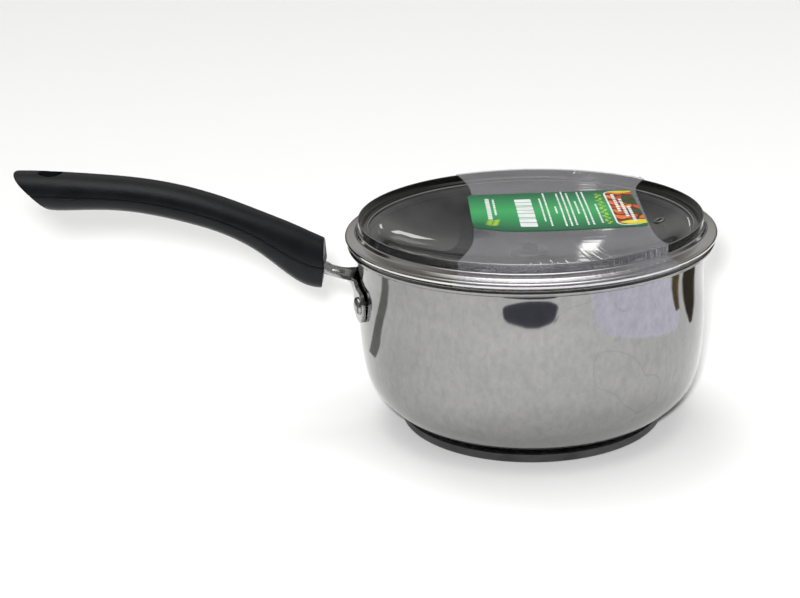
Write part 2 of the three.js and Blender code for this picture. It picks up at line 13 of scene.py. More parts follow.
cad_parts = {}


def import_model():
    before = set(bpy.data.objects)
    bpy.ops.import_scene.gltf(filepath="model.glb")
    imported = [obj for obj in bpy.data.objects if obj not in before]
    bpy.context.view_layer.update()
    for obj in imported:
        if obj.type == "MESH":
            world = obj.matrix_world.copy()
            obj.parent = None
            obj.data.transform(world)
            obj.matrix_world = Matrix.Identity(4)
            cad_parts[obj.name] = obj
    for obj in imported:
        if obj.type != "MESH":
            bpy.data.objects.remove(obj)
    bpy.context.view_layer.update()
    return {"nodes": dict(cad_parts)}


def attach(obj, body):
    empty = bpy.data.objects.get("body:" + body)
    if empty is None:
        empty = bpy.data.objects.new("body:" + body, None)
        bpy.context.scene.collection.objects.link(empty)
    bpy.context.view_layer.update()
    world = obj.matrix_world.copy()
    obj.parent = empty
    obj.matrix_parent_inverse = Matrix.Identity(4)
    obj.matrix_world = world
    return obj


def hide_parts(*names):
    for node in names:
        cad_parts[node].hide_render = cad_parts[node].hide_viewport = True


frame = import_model()

MM = 0.001
ROUND = 192  # segments round the pan and the lid
FINE_ROUND = 256  # segments round their rims
SMALL_ROUND = 48  # segments round rivets, screws and the eyelet
ON_AXIS = 1e-6  # a smaller radius counts as none


# ---- Camera

CAMERA_AT = (-38.8, -770.1, 328.6)
CAMERA_YAW = math.radians(-2.15)
CAMERA_PITCH = math.radians(18.94)  # how far it looks down
CAMERA_ROLL = math.radians(-2.17)
CAMERA_LENS = 70.2
CAMERA_SENSOR = 36


def make_camera():
    yaw, pitch, roll = CAMERA_YAW, CAMERA_PITCH, CAMERA_ROLL
    level_reach = math.cos(pitch)
    forward = Vector((math.sin(yaw) * level_reach, math.cos(yaw) * level_reach, -math.sin(pitch)))
    level = forward.cross(Vector((0, 0, 1))).normalized()
    up = level.cross(forward)
    right = level * math.cos(roll) + up * math.sin(roll)
    top = up * math.cos(roll) - level * math.sin(roll)
    data = bpy.data.cameras.new("camera")
    data.lens = CAMERA_LENS
    data.sensor_width = CAMERA_SENSOR
    data.clip_start = 0.01
    camera = bpy.data.objects.new("camera", data)
    bpy.context.scene.collection.objects.link(camera)
    turn = Matrix((right, top, -forward)).transposed().to_4x4()
    camera.matrix_world = Matrix.Translation(Vector(CAMERA_AT) * MM) @ turn
    bpy.context.scene.camera = camera


# ---- Lines and outlines, in millimetres

def travelled(line):
    """How far along the line each of its points is."""
    return np.concatenate([[0], np.cumsum(np.linalg.norm(np.diff(line, axis=0), axis=1))])


def cubic(points, count):
    """A smooth natural cubic through the points, sampled evenly by chord length. Rows may have any width."""
    points = np.array(points, float)
    knots = travelled(points[:, :2])
    gaps = np.diff(knots)
    size = len(points)
    matrix = np.eye(size)
    right = np.zeros_like(points)
    for i in range(1, size - 1):
        matrix[i, i - 1:i + 2] = gaps[i - 1], 2 * (gaps[i - 1] + gaps[i]), gaps[i]
        right[i] = 6 * ((points[i + 1] - points[i]) / gaps[i] - (points[i] - points[i - 1]) / gaps[i - 1])
    bend = np.linalg.solve(matrix, right)
    at = np.linspace(0, knots[-1], count)
    k = np.clip(np.searchsorted(knots, at, side="right") - 1, 0, size - 2)
    a, b = (at - knots[k])[:, None], (knots[k + 1] - at)[:, None]
    h = gaps[k][:, None]
    return (bend[k] * b ** 3 + bend[k + 1] * a ** 3) / (6 * h) + (
        points[k] / h - bend[k] * h / 6) * b + (points[k + 1] / h - bend[k + 1] * h / 6) * a


def arc(x, y, radius, start, end, steps):
    """Points on a circle, from one angle in degrees to another."""
    angles = np.radians(np.linspace(start, end, steps + 1))
    return [(x + radius * math.cos(a), y + radius * math.sin(a)) for a in angles]


def rounded(corners, closed=False, steps=6):
    """A line through corners given as (x, y, radius), with each corner rounded to its radius."""
    line = []
    count = len(corners)
    for i, (x, y, radius) in enumerate(corners):
        here = Vector((x, y))
        if radius == 0 or (not closed and i in (0, count - 1)):
            line.append((x, y))
            continue
        to_last = (Vector(corners[i - 1][:2]) - here).normalized()
        to_next = (Vector(corners[(i + 1) % count][:2]) - here).normalized()
        half = to_last.angle(to_next) / 2
        reach = radius / math.tan(half)
        centre = here + (to_last + to_next).normalized() * radius / math.sin(half)
        first, last = here + to_last * reach - centre, here + to_next * reach - centre
        swing = first.angle_signed(last)
        for k in range(steps + 1):
            turned = Matrix.Rotation(-swing * k / steps, 2) @ first
            line.append(tuple(centre + turned))
    return line


def offset(line, distance):
    """The same line moved to the left of its direction."""
    line = np.array(line, float)
    along = np.gradient(line, axis=0)
    along /= np.linalg.norm(along, axis=1)[:, None]
    return line + distance * np.stack([-along[:, 1], along[:, 0]], axis=1)


def smoothstep(low, high, value):
    """0 at the low value, 1 at the high one, and a soft slope between them."""
    t = np.clip((value - low) / (high - low), 0, 1)
    return t * t * (3 - 2 * t)


# ---- Meshes

def shade(mesh, sharp):
    """Smooth, except across edges sharper than an angle in degrees."""
    mesh.shade_smooth()
    mesh.set_sharp_from_angle(angle=math.radians(sharp))


def mesh_object(name, vertices, faces, sharp=40):
    """An object from vertices in millimetres."""
    mesh = bpy.data.meshes.new(name)
    mesh.from_pydata([tuple(c * MM for c in v) for v in vertices], [], faces)
    mesh.validate()
    shade(mesh, sharp)
    obj = bpy.data.objects.new(name, mesh)
    bpy.context.scene.collection.objects.link(obj)
    return obj


def lathe(name, outline, segments=ROUND, sharp=40, closed=True):
    """An outline of radius and height turned round Z. Points on the axis become one vertex each."""
    vertices, rings = [], []
    for radius, height in outline:
        if radius < ON_AXIS:
            rings.append([len(vertices)] * segments)
            vertices.append((0, 0, height))
            continue
        rings.append(list(range(len(vertices), len(vertices) + segments)))
        for j in range(segments):
            angle = 2 * math.pi * j / segments
            vertices.append((radius * math.cos(angle), radius * math.sin(angle), height))
    pairs = list(zip(rings, rings[1:]))
    if closed and outline[0][0] >= ON_AXIS:
        pairs.append((rings[-1], rings[0]))
    faces = []
    for low, high in pairs:
        for j in range(segments):
            n = (j + 1) % segments
            face = [low[j], low[n], high[n], high[j]]
            face = [v for i, v in enumerate(face) if v != face[i - 1]]
            if len(face) > 2:
                faces.append(face)
    return mesh_object(name, vertices, faces, sharp)


def grid_faces(rows, columns):
    """The faces of a sheet whose vertices stand in rows of the same length."""
    corners = [i * columns + j for i in range(rows - 1) for j in range(columns - 1)]
    return [(c, c + columns, c + columns + 1, c + 1) for c in corners]


def loft(name, rings, sharp=40):
    """A closed solid through rings of points, each ring anticlockwise about the direction of travel."""
    count = len(rings[0])
    vertices = [tuple(p) for ring in rings for p in ring]
    faces = []
    for i in range(len(rings) - 1):
        for j in range(count):
            n = (j + 1) % count
            faces.append([i * count + j, i * count + n, (i + 1) * count + n, (i + 1) * count + j])
    last = (len(rings) - 1) * count
    faces.append(list(range(count - 1, -1, -1)))
    faces.append(list(range(last, last + count)))
    return mesh_object(name, vertices, faces, sharp)


def slab(name, rows, across, thickness, place, sharp=40):
    """A sheet made of rows (along, low, high), put in space by place(side, along, up)."""
    rings = []
    for along, low, high in rows:
        sides = np.linspace(low, high, across)
        top = [place(s, along, thickness / 2) for s in sides]
        bottom = [place(s, along, -thickness / 2) for s in reversed(sides)]
        rings.append(top + bottom)
    return loft(name, rings, sharp)


def bevel(obj, width, segments=3, angle=40):
    modifier = obj.modifiers.new("rounded_edges", "BEVEL")
    modifier.width = width * MM
    modifier.segments = segments
    modifier.limit_method = "ANGLE"
    modifier.angle_limit = math.radians(angle)
    modifier.harden_normals = False


def apply_modifiers(obj):
    """Freezes the modifiers into the mesh."""
    graph = bpy.context.evaluated_depsgraph_get()
    obj.data = bpy.data.meshes.new_from_object(obj.evaluated_get(graph))
    obj.modifiers.clear()


def cut(obj, *tools, sharp=35):
    """Takes the tools out of the object, and removes them."""
    for tool in tools:
        modifier = obj.modifiers.new("cut", "BOOLEAN")
        modifier.operation = "DIFFERENCE"
        modifier.solver = "EXACT"
        modifier.object = tool
    apply_modifiers(obj)
    for tool in tools:
        bpy.data.objects.remove(tool)
    shade(obj.data, sharp)


def move(obj, matrix):
    """Bakes a placement given in millimetres into the mesh."""
    scaled = matrix.copy()
    scaled.translation = scaled.translation * MM
    obj.data.transform(scaled)


def finish_piece(obj, body, finish, slot, *nodes):
    """Gives a piece its material, its body and the CAD pieces that it stands for. The slot is not used."""
    obj.data.materials.clear()
    obj.data.materials.append(finish)
    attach(obj, body)
    if nodes:
        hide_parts(*nodes)
    return obj


# ---- Materials

def fill_ramp(node, stops):
    """Sets a colour ramp's stops, given as pairs of position and colour."""
    elements = node.color_ramp.elements
    while len(elements) < len(stops):
        elements.new(0.5)
    for element, (at, colour) in zip(elements, stops):
        element.position = at
        element.color = (*colour, 1)


class Nodes:
    """A new material's node tree, with short ways to add and join nodes."""

    def __init__(self, name):
        self.material = bpy.data.materials.new(name)
        self.material.use_nodes = True
        self.tree = self.material.node_tree
        self.shader = self.tree.nodes["Principled BSDF"]
        self.output = self.tree.nodes["Material Output"]

    def add(self, kind, settings=None, **inputs):
        node = self.tree.nodes.new(kind)
        for key, value in (settings or {}).items():
            setattr(node, key, value)
        for key, value in inputs.items():
            self.feed(node.inputs[key.replace("_", " ")], value)
        return node

    def feed(self, socket, value):
        if isinstance(value, bpy.types.NodeSocket):
            self.tree.links.new(value, socket)
        else:
            socket.default_value = value

    def set(self, **inputs):
        for key, value in inputs.items():
            self.feed(self.shader.inputs[key.replace("_", " ")], value)

    def first_output(self, kind, values, **settings):
        """A new node's first output, with values or sockets fed to its inputs in their order."""
        node = self.add(kind, settings)
        for socket, value in zip(node.inputs, values):
            self.feed(socket, value)
        return node.outputs[0]

    def math(self, operation, *values):
        return self.first_output("ShaderNodeMath", values, operation=operation)

    def mix_shader(self, share, first, second):
        return self.first_output("ShaderNodeMixShader", (share, first, second))

    def ramp(self, value, stops):
        node = self.tree.nodes.new("ShaderNodeValToRGB")
        fill_ramp(node, stops)
        self.feed(node.inputs[0], value)
        return node.outputs[0]

    def position(self):
        """The X, Y and Z of the object's own coordinates."""
        place = self.add("ShaderNodeTexCoord")
        return self.add("ShaderNodeSeparateXYZ", Vector=place.outputs["Object"]).outputs

    def axis_distance(self, position):
        across = self.math("POWER", position["X"], 2.0)
        along = self.math("POWER", position["Y"], 2.0)
        return self.math("SQRT", self.math("ADD", across, along))

    def joined(self, x, y):
        """A vector from two values, each given as a value and its scale."""
        node = self.add("ShaderNodeCombineXYZ")
        self.feed(node.inputs["X"], self.math("MULTIPLY", *x))
        self.feed(node.inputs["Y"], self.math("MULTIPLY", *y))
        return node.outputs[0]

    def coordinates(self, scale=(1, 1, 1)):
        place = self.add("ShaderNodeTexCoord")
        mapping = self.add("ShaderNodeMapping", Vector=place.outputs["Object"])
        mapping.inputs["Scale"].default_value = scale
        return mapping.outputs[0]

    def noise(self, vector, scale, detail=3.0, roughness=0.5):
        return self.add(
            "ShaderNodeTexNoise", Vector=vector, Scale=scale, Detail=detail, Roughness=roughness,
        ).outputs["Fac"]

    def round_coordinates(self, around, upward):
        """The angle round the Z axis and the height, each stretched by a scale."""
        position = self.position()
        angle = self.math("ARCTAN2", position["Y"], position["X"])
        return self.joined((angle, around), (position["Z"], upward))

    def bump(self, height, strength, distance):
        node = self.add("ShaderNodeBump", Height=height, Strength=strength, Distance=distance)
        self.feed(self.shader.inputs["Normal"], node.outputs[0])


def grey(level):
    return (level, level, level)


def polished_steel():
    """Mirror-finished sheet: faint upright polishing lines, soft waves and a few hair scratches."""
    n = Nodes("polished_steel")
    lines = n.noise(n.round_coordinates(260, 60), 1.0, 4)
    waves = n.noise(n.coordinates((1, 1, 0.7)), 38, 2)
    tone = n.ramp(n.noise(n.coordinates((1, 1, 0.6)), 300, 5, 0.7), [
        (0.3, (0.258, 0.262, 0.262)), (0.7, (0.335, 0.331, 0.323)),
    ])
    swirl = n.noise(n.coordinates(), 26, 1.5)
    scratch = n.ramp(swirl, [(0.488, grey(0)), (0.496, grey(1)), (0.504, grey(0))])
    patchy = n.ramp(n.noise(n.coordinates(), 15, 1), [(0.52, grey(0)), (0.62, grey(1))])
    hair = n.math("MULTIPLY", scratch, patchy)
    marked = n.add("ShaderNodeMix", {"data_type": "RGBA"})
    n.feed(marked.inputs[0], n.math("MULTIPLY", hair, 0.35))
    n.feed(marked.inputs[6], tone)  # the mix node's two colours are its inputs 6 and 7
    n.feed(marked.inputs[7], (0.17, 0.17, 0.165, 1))
    n.set(Base_Color=marked.outputs[2], Metallic=1.0, Roughness=n.math("MULTIPLY_ADD", lines, 0.06, 0.055))
    height = n.math("ADD", n.math("MULTIPLY", lines, 0.30), n.math("MULTIPLY", waves, 0.7))
    height = n.math("ADD", height, n.math("MULTIPLY", hair, 0.5))
    n.bump(height, 0.06, 0.0006)
    return n.material


def lid_steel():
    """The lid's bright rolled band, with painted shade that makes it darker inside its skirt."""
    n = Nodes("lid_steel")
    lines = n.noise(n.round_coordinates(10, 2600), 1.0, 3)
    position = n.position()
    # Painted shade: inside the skirt, above the channel, the band is coloured dark steel instead of bright
    # steel.
    within = n.math("LESS_THAN", n.axis_distance(position), (SKIRT_RADIUS - 0.5) * MM)
    above = n.math("GREATER_THAN", position["Z"], (CHANNEL[2] + 0.1) * MM)
    colour = n.ramp(n.math("MULTIPLY", within, above), [(0.0, (0.72, 0.71, 0.68)), (1.0, (0.20, 0.20, 0.19))])
    n.set(Base_Color=colour, Metallic=1.0, Roughness=n.math("MULTIPLY_ADD", lines, 0.08, 0.09))
    n.bump(lines, 0.03, 0.0003)
    return n.material


def satin_steel(name, level, roughness):
    """Formed or turned steel with a fine grain, of a given brightness."""
    n = Nodes(name)
    grain = n.noise(n.coordinates((1, 1, 3)), 420, 3)
    marks = n.noise(n.coordinates(), 60, 3)
    colour = n.ramp(marks, [(0.3, grey(level * 0.85)), (0.7, grey(level * 1.1))])
    n.set(Base_Color=colour, Metallic=1.0, Roughness=n.math("MULTIPLY_ADD", grain, 0.16, roughness))
    n.bump(grain, 0.10, 0.0002)
    return n.material


def spun_steel():
    """The base cap: turned, with fine rings round its axis."""
    n = Nodes("spun_steel")
    position = n.position()
    rings = n.noise(n.joined((n.axis_distance(position), 2400), (position["Z"], 900)), 1.0, 2)
    mottle_in_painted_shade = n.noise(n.coordinates(), 45, 4)
    # Painted shade: the cap's steel is coloured very dark for the shade under the pan; the noise only mottles
    # it.
    colour = n.ramp(mottle_in_painted_shade, [(0.35, grey(0.085)), (0.65, grey(0.145))])
    n.set(Base_Color=colour, Metallic=1.0, Roughness=n.math("MULTIPLY_ADD", rings, 0.15, 0.42))
    n.bump(rings, 0.12, 0.0002)
    return n.material


def phenolic():
    """Moulded black phenolic with a fine spark-eroded grain."""
    n = Nodes("phenolic")
    grain = n.add("ShaderNodeTexVoronoi", Vector=n.coordinates(), Scale=1500.0).outputs["Distance"]
    cloud = n.noise(n.coordinates(), 90, 4)
    colour = n.ramp(cloud, [(0.35, (0.0032, 0.0036, 0.0044)), (0.7, (0.0058, 0.0064, 0.0078))])
    rough = n.math("MULTIPLY_ADD", cloud, 0.10, 0.27)
    n.set(Base_Color=colour, Specular_IOR_Level=0.25, Roughness=rough)
    n.bump(n.math("ADD", grain, n.math("MULTIPLY", cloud, 0.4)), 0.55, 0.00025)
    return n.material


def rubber():
    """Grey silicone for the gasket and the knob's seal."""
    n = Nodes("silicone")
    fine = n.noise(n.coordinates(), 900, 3)
    n.set(Base_Color=n.ramp(fine, [(0.3, grey(0.14)), (0.7, grey(0.2))]), Roughness=0.55)
    n.bump(fine, 0.2, 0.0001)
    return n.material


def metal(name, colour, roughness):
    """Plain metal for the pieces that are mostly hidden."""
    n = Nodes(name)
    fine = n.noise(n.coordinates(), 700, 3)
    rough = n.math("MULTIPLY_ADD", fine, 0.15, roughness)
    n.set(Base_Color=(*colour, 1), Metallic=1.0, Roughness=rough)
    n.bump(fine, 0.1, 0.0001)
    return n.material


HEAD_ON_MIRROR = 0.04  # the share of light that a clear sheet mirrors when met squarely


def clear_sheet(name, tint, roughness, veil, veil_colour, bump=None):
    """A see-through sheet: light passes with a tint, a share is scattered by a veil, the rest mirrors."""
    n = Nodes(name)
    n.tree.nodes.remove(n.shader)
    clear = n.add("ShaderNodeBsdfTransparent", Color=(*tint, 1))
    haze = n.add("ShaderNodeBsdfDiffuse", Color=(*veil_colour, 1))
    gloss = n.add("ShaderNodeBsdfGlossy", Color=(1, 1, 1, 1), Roughness=roughness)
    weight = n.add("ShaderNodeLayerWeight", Blend=0.5)
    if bump:
        height, strength, distance = bump(n)
        normal = n.add("ShaderNodeBump", Height=height, Strength=strength, Distance=distance).outputs[0]
        for node in (haze, gloss, weight):
            n.feed(node.inputs["Normal"], normal)
    cloudy = n.math("MULTIPLY_ADD", n.noise(n.coordinates(), 38, 4, 0.6), 2.4 * veil, -0.2 * veil)
    veiled = n.mix_shader(cloudy, clear.outputs[0], haze.outputs[0])
    grazing = n.math("POWER", weight.outputs["Facing"], 5.0)
    mirrored = n.math("MULTIPLY_ADD", grazing, 1 - HEAD_ON_MIRROR, HEAD_ON_MIRROR)
    n.feed(n.output.inputs["Surface"], n.mix_shader(mirrored, veiled, gloss.outputs[0]))
    return n.material


def film_bump(n):
    """Long shallow folds across the film, as height, strength and distance."""
    long_folds = n.noise(n.coordinates((0.12, 1, 1)), 240, 2)
    return long_folds, 0.07, 0.0006


def paper(n):
    """Gives a printed material the sheen and the fine grain of card."""
    n.set(Specular_IOR_Level=0.25)
    n.bump(n.noise(n.coordinates(), 1400, 2), 0.08, 0.00005)
    return n.material


def printed(name, colour, second=None):
    """Ink on card, with a little mottle."""
    n = Nodes(name)
    mottle = n.noise(n.coordinates(), 130, 3)
    other = second or tuple(c * 0.85 for c in colour)
    n.set(Base_Color=n.ramp(mottle, [(0.35, other), (0.65, colour)]), Roughness=0.38)
    return paper(n)


def card_green():
    """The card's ground: green, lighter along the middle and darker towards its two long edges."""
    n = Nodes("card_green")
    away = n.math("ABSOLUTE", n.math("SUBTRACT", n.position()["Y"], LABEL_AT[1] * MM))
    share = n.math("DIVIDE", away, LABEL_DEPTH * MM / 2)
    n.set(Base_Color=n.ramp(share, [
        (0.0, (0.040, 0.36, 0.105)), (0.45, (0.025, 0.25, 0.08)), (1.0, (0.010, 0.10, 0.045)),
    ]), Roughness=0.35)
    return paper(n)


# ---- Pan and base

PAN_WALL = 0.8
PAN_SIDE = [
    (60, 5.25), (68.5, 7.1), (76.5, 13.1), (83, 20.4), (86.6, 29.3), (88.4, 40.6),
    (89.2, 54), (89, 66), (88.4, 78), (88.9, 86), (90.3, 94),
]  # radius and height of the outer face
PAN_FLOOR = PAN_SIDE[0][1]
RIM_RADIUS = 91.85
RIM_Z = 96.7
RIM_BEAD = 1.95
BASE_RADIUS = 68.6
BASE_HEIGHT = 5.0
BASE_SHEET = 0.6
GROOVE_RADII = (14, 26, 38, 50, 60)
GROOVE_DEPTH = 0.28
GROOVE_MOUTH = 0.7  # half a groove's width at the bottom face


def pan_shell(steel):
    side = cubic(PAN_SIDE, 90)
    outside = [(0, PAN_FLOOR), (30, PAN_FLOOR), (54, PAN_FLOOR), *map(tuple, side)]
    inside = [tuple(p) for p in offset(outside, PAN_WALL)]
    inside[0] = (0, inside[0][1])
    bead = arc(RIM_RADIUS, RIM_Z, RIM_BEAD, -125, 180, 28)
    shell = lathe("pan_shell", [*outside, *bead, *reversed(inside)], FINE_ROUND, sharp=60)
    return finish_piece(shell, "pan", steel, "polished_steel", "pan_body")


def base_disc(steel):
    grooves = []
    for radius in GROOVE_RADII:
        for across, depth in ((-1, 0), (-0.5, GROOVE_DEPTH), (0.5, GROOVE_DEPTH), (1, 0)):
            grooves.append((radius + across * GROOVE_MOUTH, depth, 0))
    inner = BASE_RADIUS - BASE_SHEET
    corners = [
        (0, 0, 0), *grooves, (BASE_RADIUS, 0, 2.3), (BASE_RADIUS, BASE_HEIGHT, 0.25),
        (inner, BASE_HEIGHT, 0.2), (inner, BASE_SHEET, 1.7), (0, BASE_SHEET, 0),
    ]
    disc = lathe("base_disc", rounded(corners, steps=8), sharp=30)
    return finish_piece(disc, "pan", steel, "base_steel", "base_cap")


# ---- Handle bracket and rivets

FOOT_RADIUS = 90.5  # middle of the foot's sheet
FOOT_BOTTOM = 61
FOOT_SHOULDER = 71
FOOT_TOP = 79.5
FOOT_HALF_WIDTH = 31.5
FOOT_CORNER = 6.0
STRAP_SHEET = 2.0
STRAP_HALF_WIDTH = 6.5
TONGUE_SLOPE = math.radians(27)
TONGUE_START = (105.5, 81.9)
TONGUE_END = 143
RIVET_ANGLE = 16.5
RIVET_Z = 70


def strap_path():
    """The strap's middle line from the foot's bottom to the tongue's end, as distance out and height."""
    end = (TONGUE_END, TONGUE_START[1] + (TONGUE_END - TONGUE_START[0]) * math.tan(TONGUE_SLOPE), 0)
    corners = [
        (FOOT_RADIUS, FOOT_BOTTOM, 0), (FOOT_RADIUS, 71.5, 9), (92.7, 77.8, 4.5), (103.5, 80.9, 10), end,
    ]
    line = np.array(rounded(corners, steps=10))
    return line, travelled(line)


def bracket(steel):
    """The foot and the strap in one formed sheet, with a rib pressed along the strap."""
    line, lengths = strap_path()
    slopes = np.gradient(line, lengths, axis=0)
    slopes /= np.linalg.norm(slopes, axis=1)[:, None]
    rise = FOOT_TOP - FOOT_BOTTOM
    rib_start, rib_end = rise + 1, lengths[-1] - 44

    def place(side, along, up):
        out, high = (np.interp(along, lengths, line[:, c]) for c in (0, 1))
        run, climb = (np.interp(along, lengths, slopes[:, c]) for c in (0, 1))
        rib = smoothstep(rib_start, rib_start + 4, along) * (1 - smoothstep(rib_end - 2, rib_end, along))
        sunk = up - 0.9 * rib * (1 - smoothstep(1.3, 3.0, abs(side)))
        on_strap = (out + climb * sunk, high - run * sunk)
        on_wall = (FOOT_RADIUS + up, FOOT_BOTTOM + along)
        wing = float(smoothstep(STRAP_HALF_WIDTH - 1, STRAP_HALF_WIDTH + 7, abs(side)))
        radius = on_strap[0] * (1 - wing) + on_wall[0] * wing
        height = on_strap[1] * (1 - wing) + on_wall[1] * wing
        angle = side / FOOT_RADIUS
        bent = Vector((-radius * math.cos(angle), radius * math.sin(angle), height))
        return bent.lerp(Vector((-radius, side, height)), float(smoothstep(rise, rise + 6, along)))

    end = FOOT_HALF_WIDTH
    straight = FOOT_SHOULDER - FOOT_BOTTOM
    outline = arc(end - FOOT_CORNER, FOOT_CORNER, FOOT_CORNER, -90, 0, 12)
    outline += arc(end - FOOT_CORNER, straight, FOOT_CORNER, 0, 78, 12)
    fillet = [(12, rise - 0.9), (9.2, rise + 0.1), (7.4, rise + 1.6), (STRAP_HALF_WIDTH, rise + 4.2)]
    outline += [tuple(p) for p in cubic([outline[-1], (19, rise - 2.3), *fillet], 40)[1:]]
    rows = [(along, width) for width, along in outline]
    rows += [(along, STRAP_HALF_WIDTH) for along in np.linspace(rows[-1][0] + 0.4, lengths[-1], 150)]
    plate = slab("handle_strap", [(a, -w, w) for a, w in rows], 49, STRAP_SHEET, place)
    bevel(plate, 0.35)
    apply_modifiers(plate)
    shade(plate.data, 50)
    return finish_piece(plate, "pan", steel, "satin_steel", "handle_bracket")


RIVET_SEAT = 87.35  # the wall's inner face, from the axis
RIVET_DOME = [(4.6, 0.05), (4.3, 1.1), (3.2, 1.95), (1.6, 2.4), (0, 2.5)]


def rivet(name, side, steel, node):
    """A domed rivet through the wall and the foot, with a flat head inside the pan."""
    seat, head = RIVET_SEAT, FOOT_RADIUS + STRAP_SHEET / 2
    dome = cubic([(radius, head + height) for radius, height in RIVET_DOME], 20)
    dome[-1][0] = 0
    outline = [
        (0, seat - 1.2), *arc(4.1, seat - 0.7, 0.5, -90, 0, 4), (4.6, seat), (2.3, seat), (2.3, head),
        (4.4, head), *map(tuple, dome),
    ]
    piece = lathe(name, outline, SMALL_ROUND)
    azimuth = math.pi + side * math.radians(RIVET_ANGLE)
    turn = Euler((0, math.pi / 2, 0)).to_matrix().to_4x4()
    move(piece, Matrix.Translation((0, 0, RIVET_Z)) @ Matrix.Rotation(azimuth, 4, "Z") @ turn)
    return finish_piece(piece, "pan", steel, "satin_steel", node)


# ---- Grip and its fastening

GRIP_SECTIONS = [
    (105.6, 98.2, 107.9, 72.6, 10.6), (112, 101.4, 112.6, 73.4, 11.2), (122, 106.4, 121.5, 77.9, 11.6),
    (135, 112.1, 136.5, 90.8, 11.9), (152, 119.3, 155, 102.6, 12.1), (172, 126.4, 175, 110, 12.3),
    (195, 131.8, 197, 115.6, 12.5), (220, 135.1, 217, 118, 12.7), (240, 137, 232.5, 118.2, 12.7),
    (251.5, 137.9, 239.5, 118.3, 12.5), (263, 138.4, 244.2, 118.8, 12),
]  # top point, bottom point (distance out and height of each) and half the width
GRIP_TOP_POWER = 0.9
GRIP_BOTTOM_POWER = 0.72
GRIP_FRONT_BOW = 1.1  # how far the front face stands forward at the parting line
HANG_HOLE_AT = 244.0
HANG_HOLE_RADIUS = 6.0
SCREW_AT = 127
SCREW_HEIGHT = TONGUE_START[1] + (SCREW_AT - TONGUE_START[0]) * math.tan(TONGUE_SLOPE)


def screw_place():
    """+Z runs down, square to the strap, from the strap's middle at the screw."""
    turn = Euler((0, math.pi + TONGUE_SLOPE, 0)).to_matrix().to_4x4()
    return Matrix.Translation((-SCREW_AT, 0, SCREW_HEIGHT)) @ turn


def box_tool(low, high, matrix):
    """A box between two corners, to cut with."""
    corners = list(itertools.product(*zip(low, high)))
    faces = [(0, 1, 3, 2), (4, 6, 7, 5), (0, 4, 5, 1), (2, 3, 7, 6), (0, 2, 6, 4), (1, 5, 7, 3)]
    tool = mesh_object("tool", corners, faces)
    move(tool, matrix)
    return tool


def hang_hole_tool():
    mouth = [(105, 0), (136.3, 0), (137.0, 0.1), (137.5, 0.35), (137.9, 0.8), (138.6, 1.9), (146, 12)]
    outline = [(0, 105), *[(HANG_HOLE_RADIUS + grow, height) for height, grow in mouth], (0, 146)]
    tool = lathe("tool", outline, 96)
    move(tool, Matrix.Translation((-HANG_HOLE_AT, 0, 0)))
    return tool


def grip(plastic):
    """A loft with rounded ends, a parting groove, the hanging hole and the strap's socket."""
    table = cubic(GRIP_SECTIONS, 240)
    groove = [-0.05, -0.022, 0, 0.022, 0.05]
    around = [a for a in np.linspace(0, 2 * math.pi, 96, endpoint=False) if abs(math.sin(a)) > 0.06]
    around += [(side + g) % (2 * math.pi) for side in (0, math.pi) for g in groove]
    around = np.sort(around)
    power = np.where(np.sin(around) > 0, GRIP_TOP_POWER, GRIP_BOTTOM_POWER)
    across = -np.sign(np.cos(around)) * np.abs(np.cos(around)) ** power
    upward = np.sign(np.sin(around)) * np.abs(np.sin(around)) ** power
    notch = np.where(np.abs(np.sin(around)) < 0.01, 0.28, 0)
    travel = travelled(table[:, :2])
    front_round, tip_round, end = 0.8, 1.3, travel[-1]
    quarter = np.linspace(0, math.pi / 2, 8)
    samples = np.concatenate([
        front_round * (1 - np.cos(quarter)),
        np.linspace(front_round + 0.6, end - tip_round - 0.6, 220),
        end - tip_round * (1 - np.sin(quarter)),
    ])
    rings = []
    for at in samples:
        top_x, top_z, low_x, low_z, half = (np.interp(at, travel, table[:, c]) for c in range(5))
        inset = 0.0
        if at < front_round:
            inset = front_round - math.sqrt(front_round ** 2 - (front_round - at) ** 2)
        if end - at < tip_round:
            inset = tip_round - math.sqrt(max(tip_round ** 2 - (tip_round - end + at) ** 2, 0))
        middle = np.array([(top_x + low_x) / 2, (top_z + low_z) / 2])
        reach = np.array([(top_x - low_x) / 2, (top_z - low_z) / 2])
        reach *= 1 - inset / np.linalg.norm(reach)
        bow = GRIP_FRONT_BOW * (1 - smoothstep(0, 9, at))
        ring = []
        for a, u, n in zip(across, upward, notch):
            out, height = middle + reach * u
            ring.append((bow * (1 - abs(u)) - out, a * (half - inset - n), height))
        rings.append(ring)
    body = loft("grip", rings, sharp=50)
    place = screw_place()
    socket_end = (TONGUE_END - SCREW_AT) / math.cos(TONGUE_SLOPE) + 2
    slot = box_tool((-40, -6.8, -1.3), (socket_end, 6.8, 1.3), place)
    channel = box_tool((-40, -3.9, -6.0), (socket_end, 3.9, 0), place)
    bore = [(0, 0), (2.3, 0), (2.3, 4.3), (4.0, 4.3), (4.0, 7.0), (9.0, 12.0), (0, 12.0)]
    hole = lathe("tool", bore, SMALL_ROUND)
    move(hole, place)
    cut(body, hang_hole_tool(), slot, channel, hole)
    return finish_piece(body, "pan", plastic, "phenolic", "handle_grip")


HEAD_HEIGHT = 2.4
THREAD_PITCH = 0.8


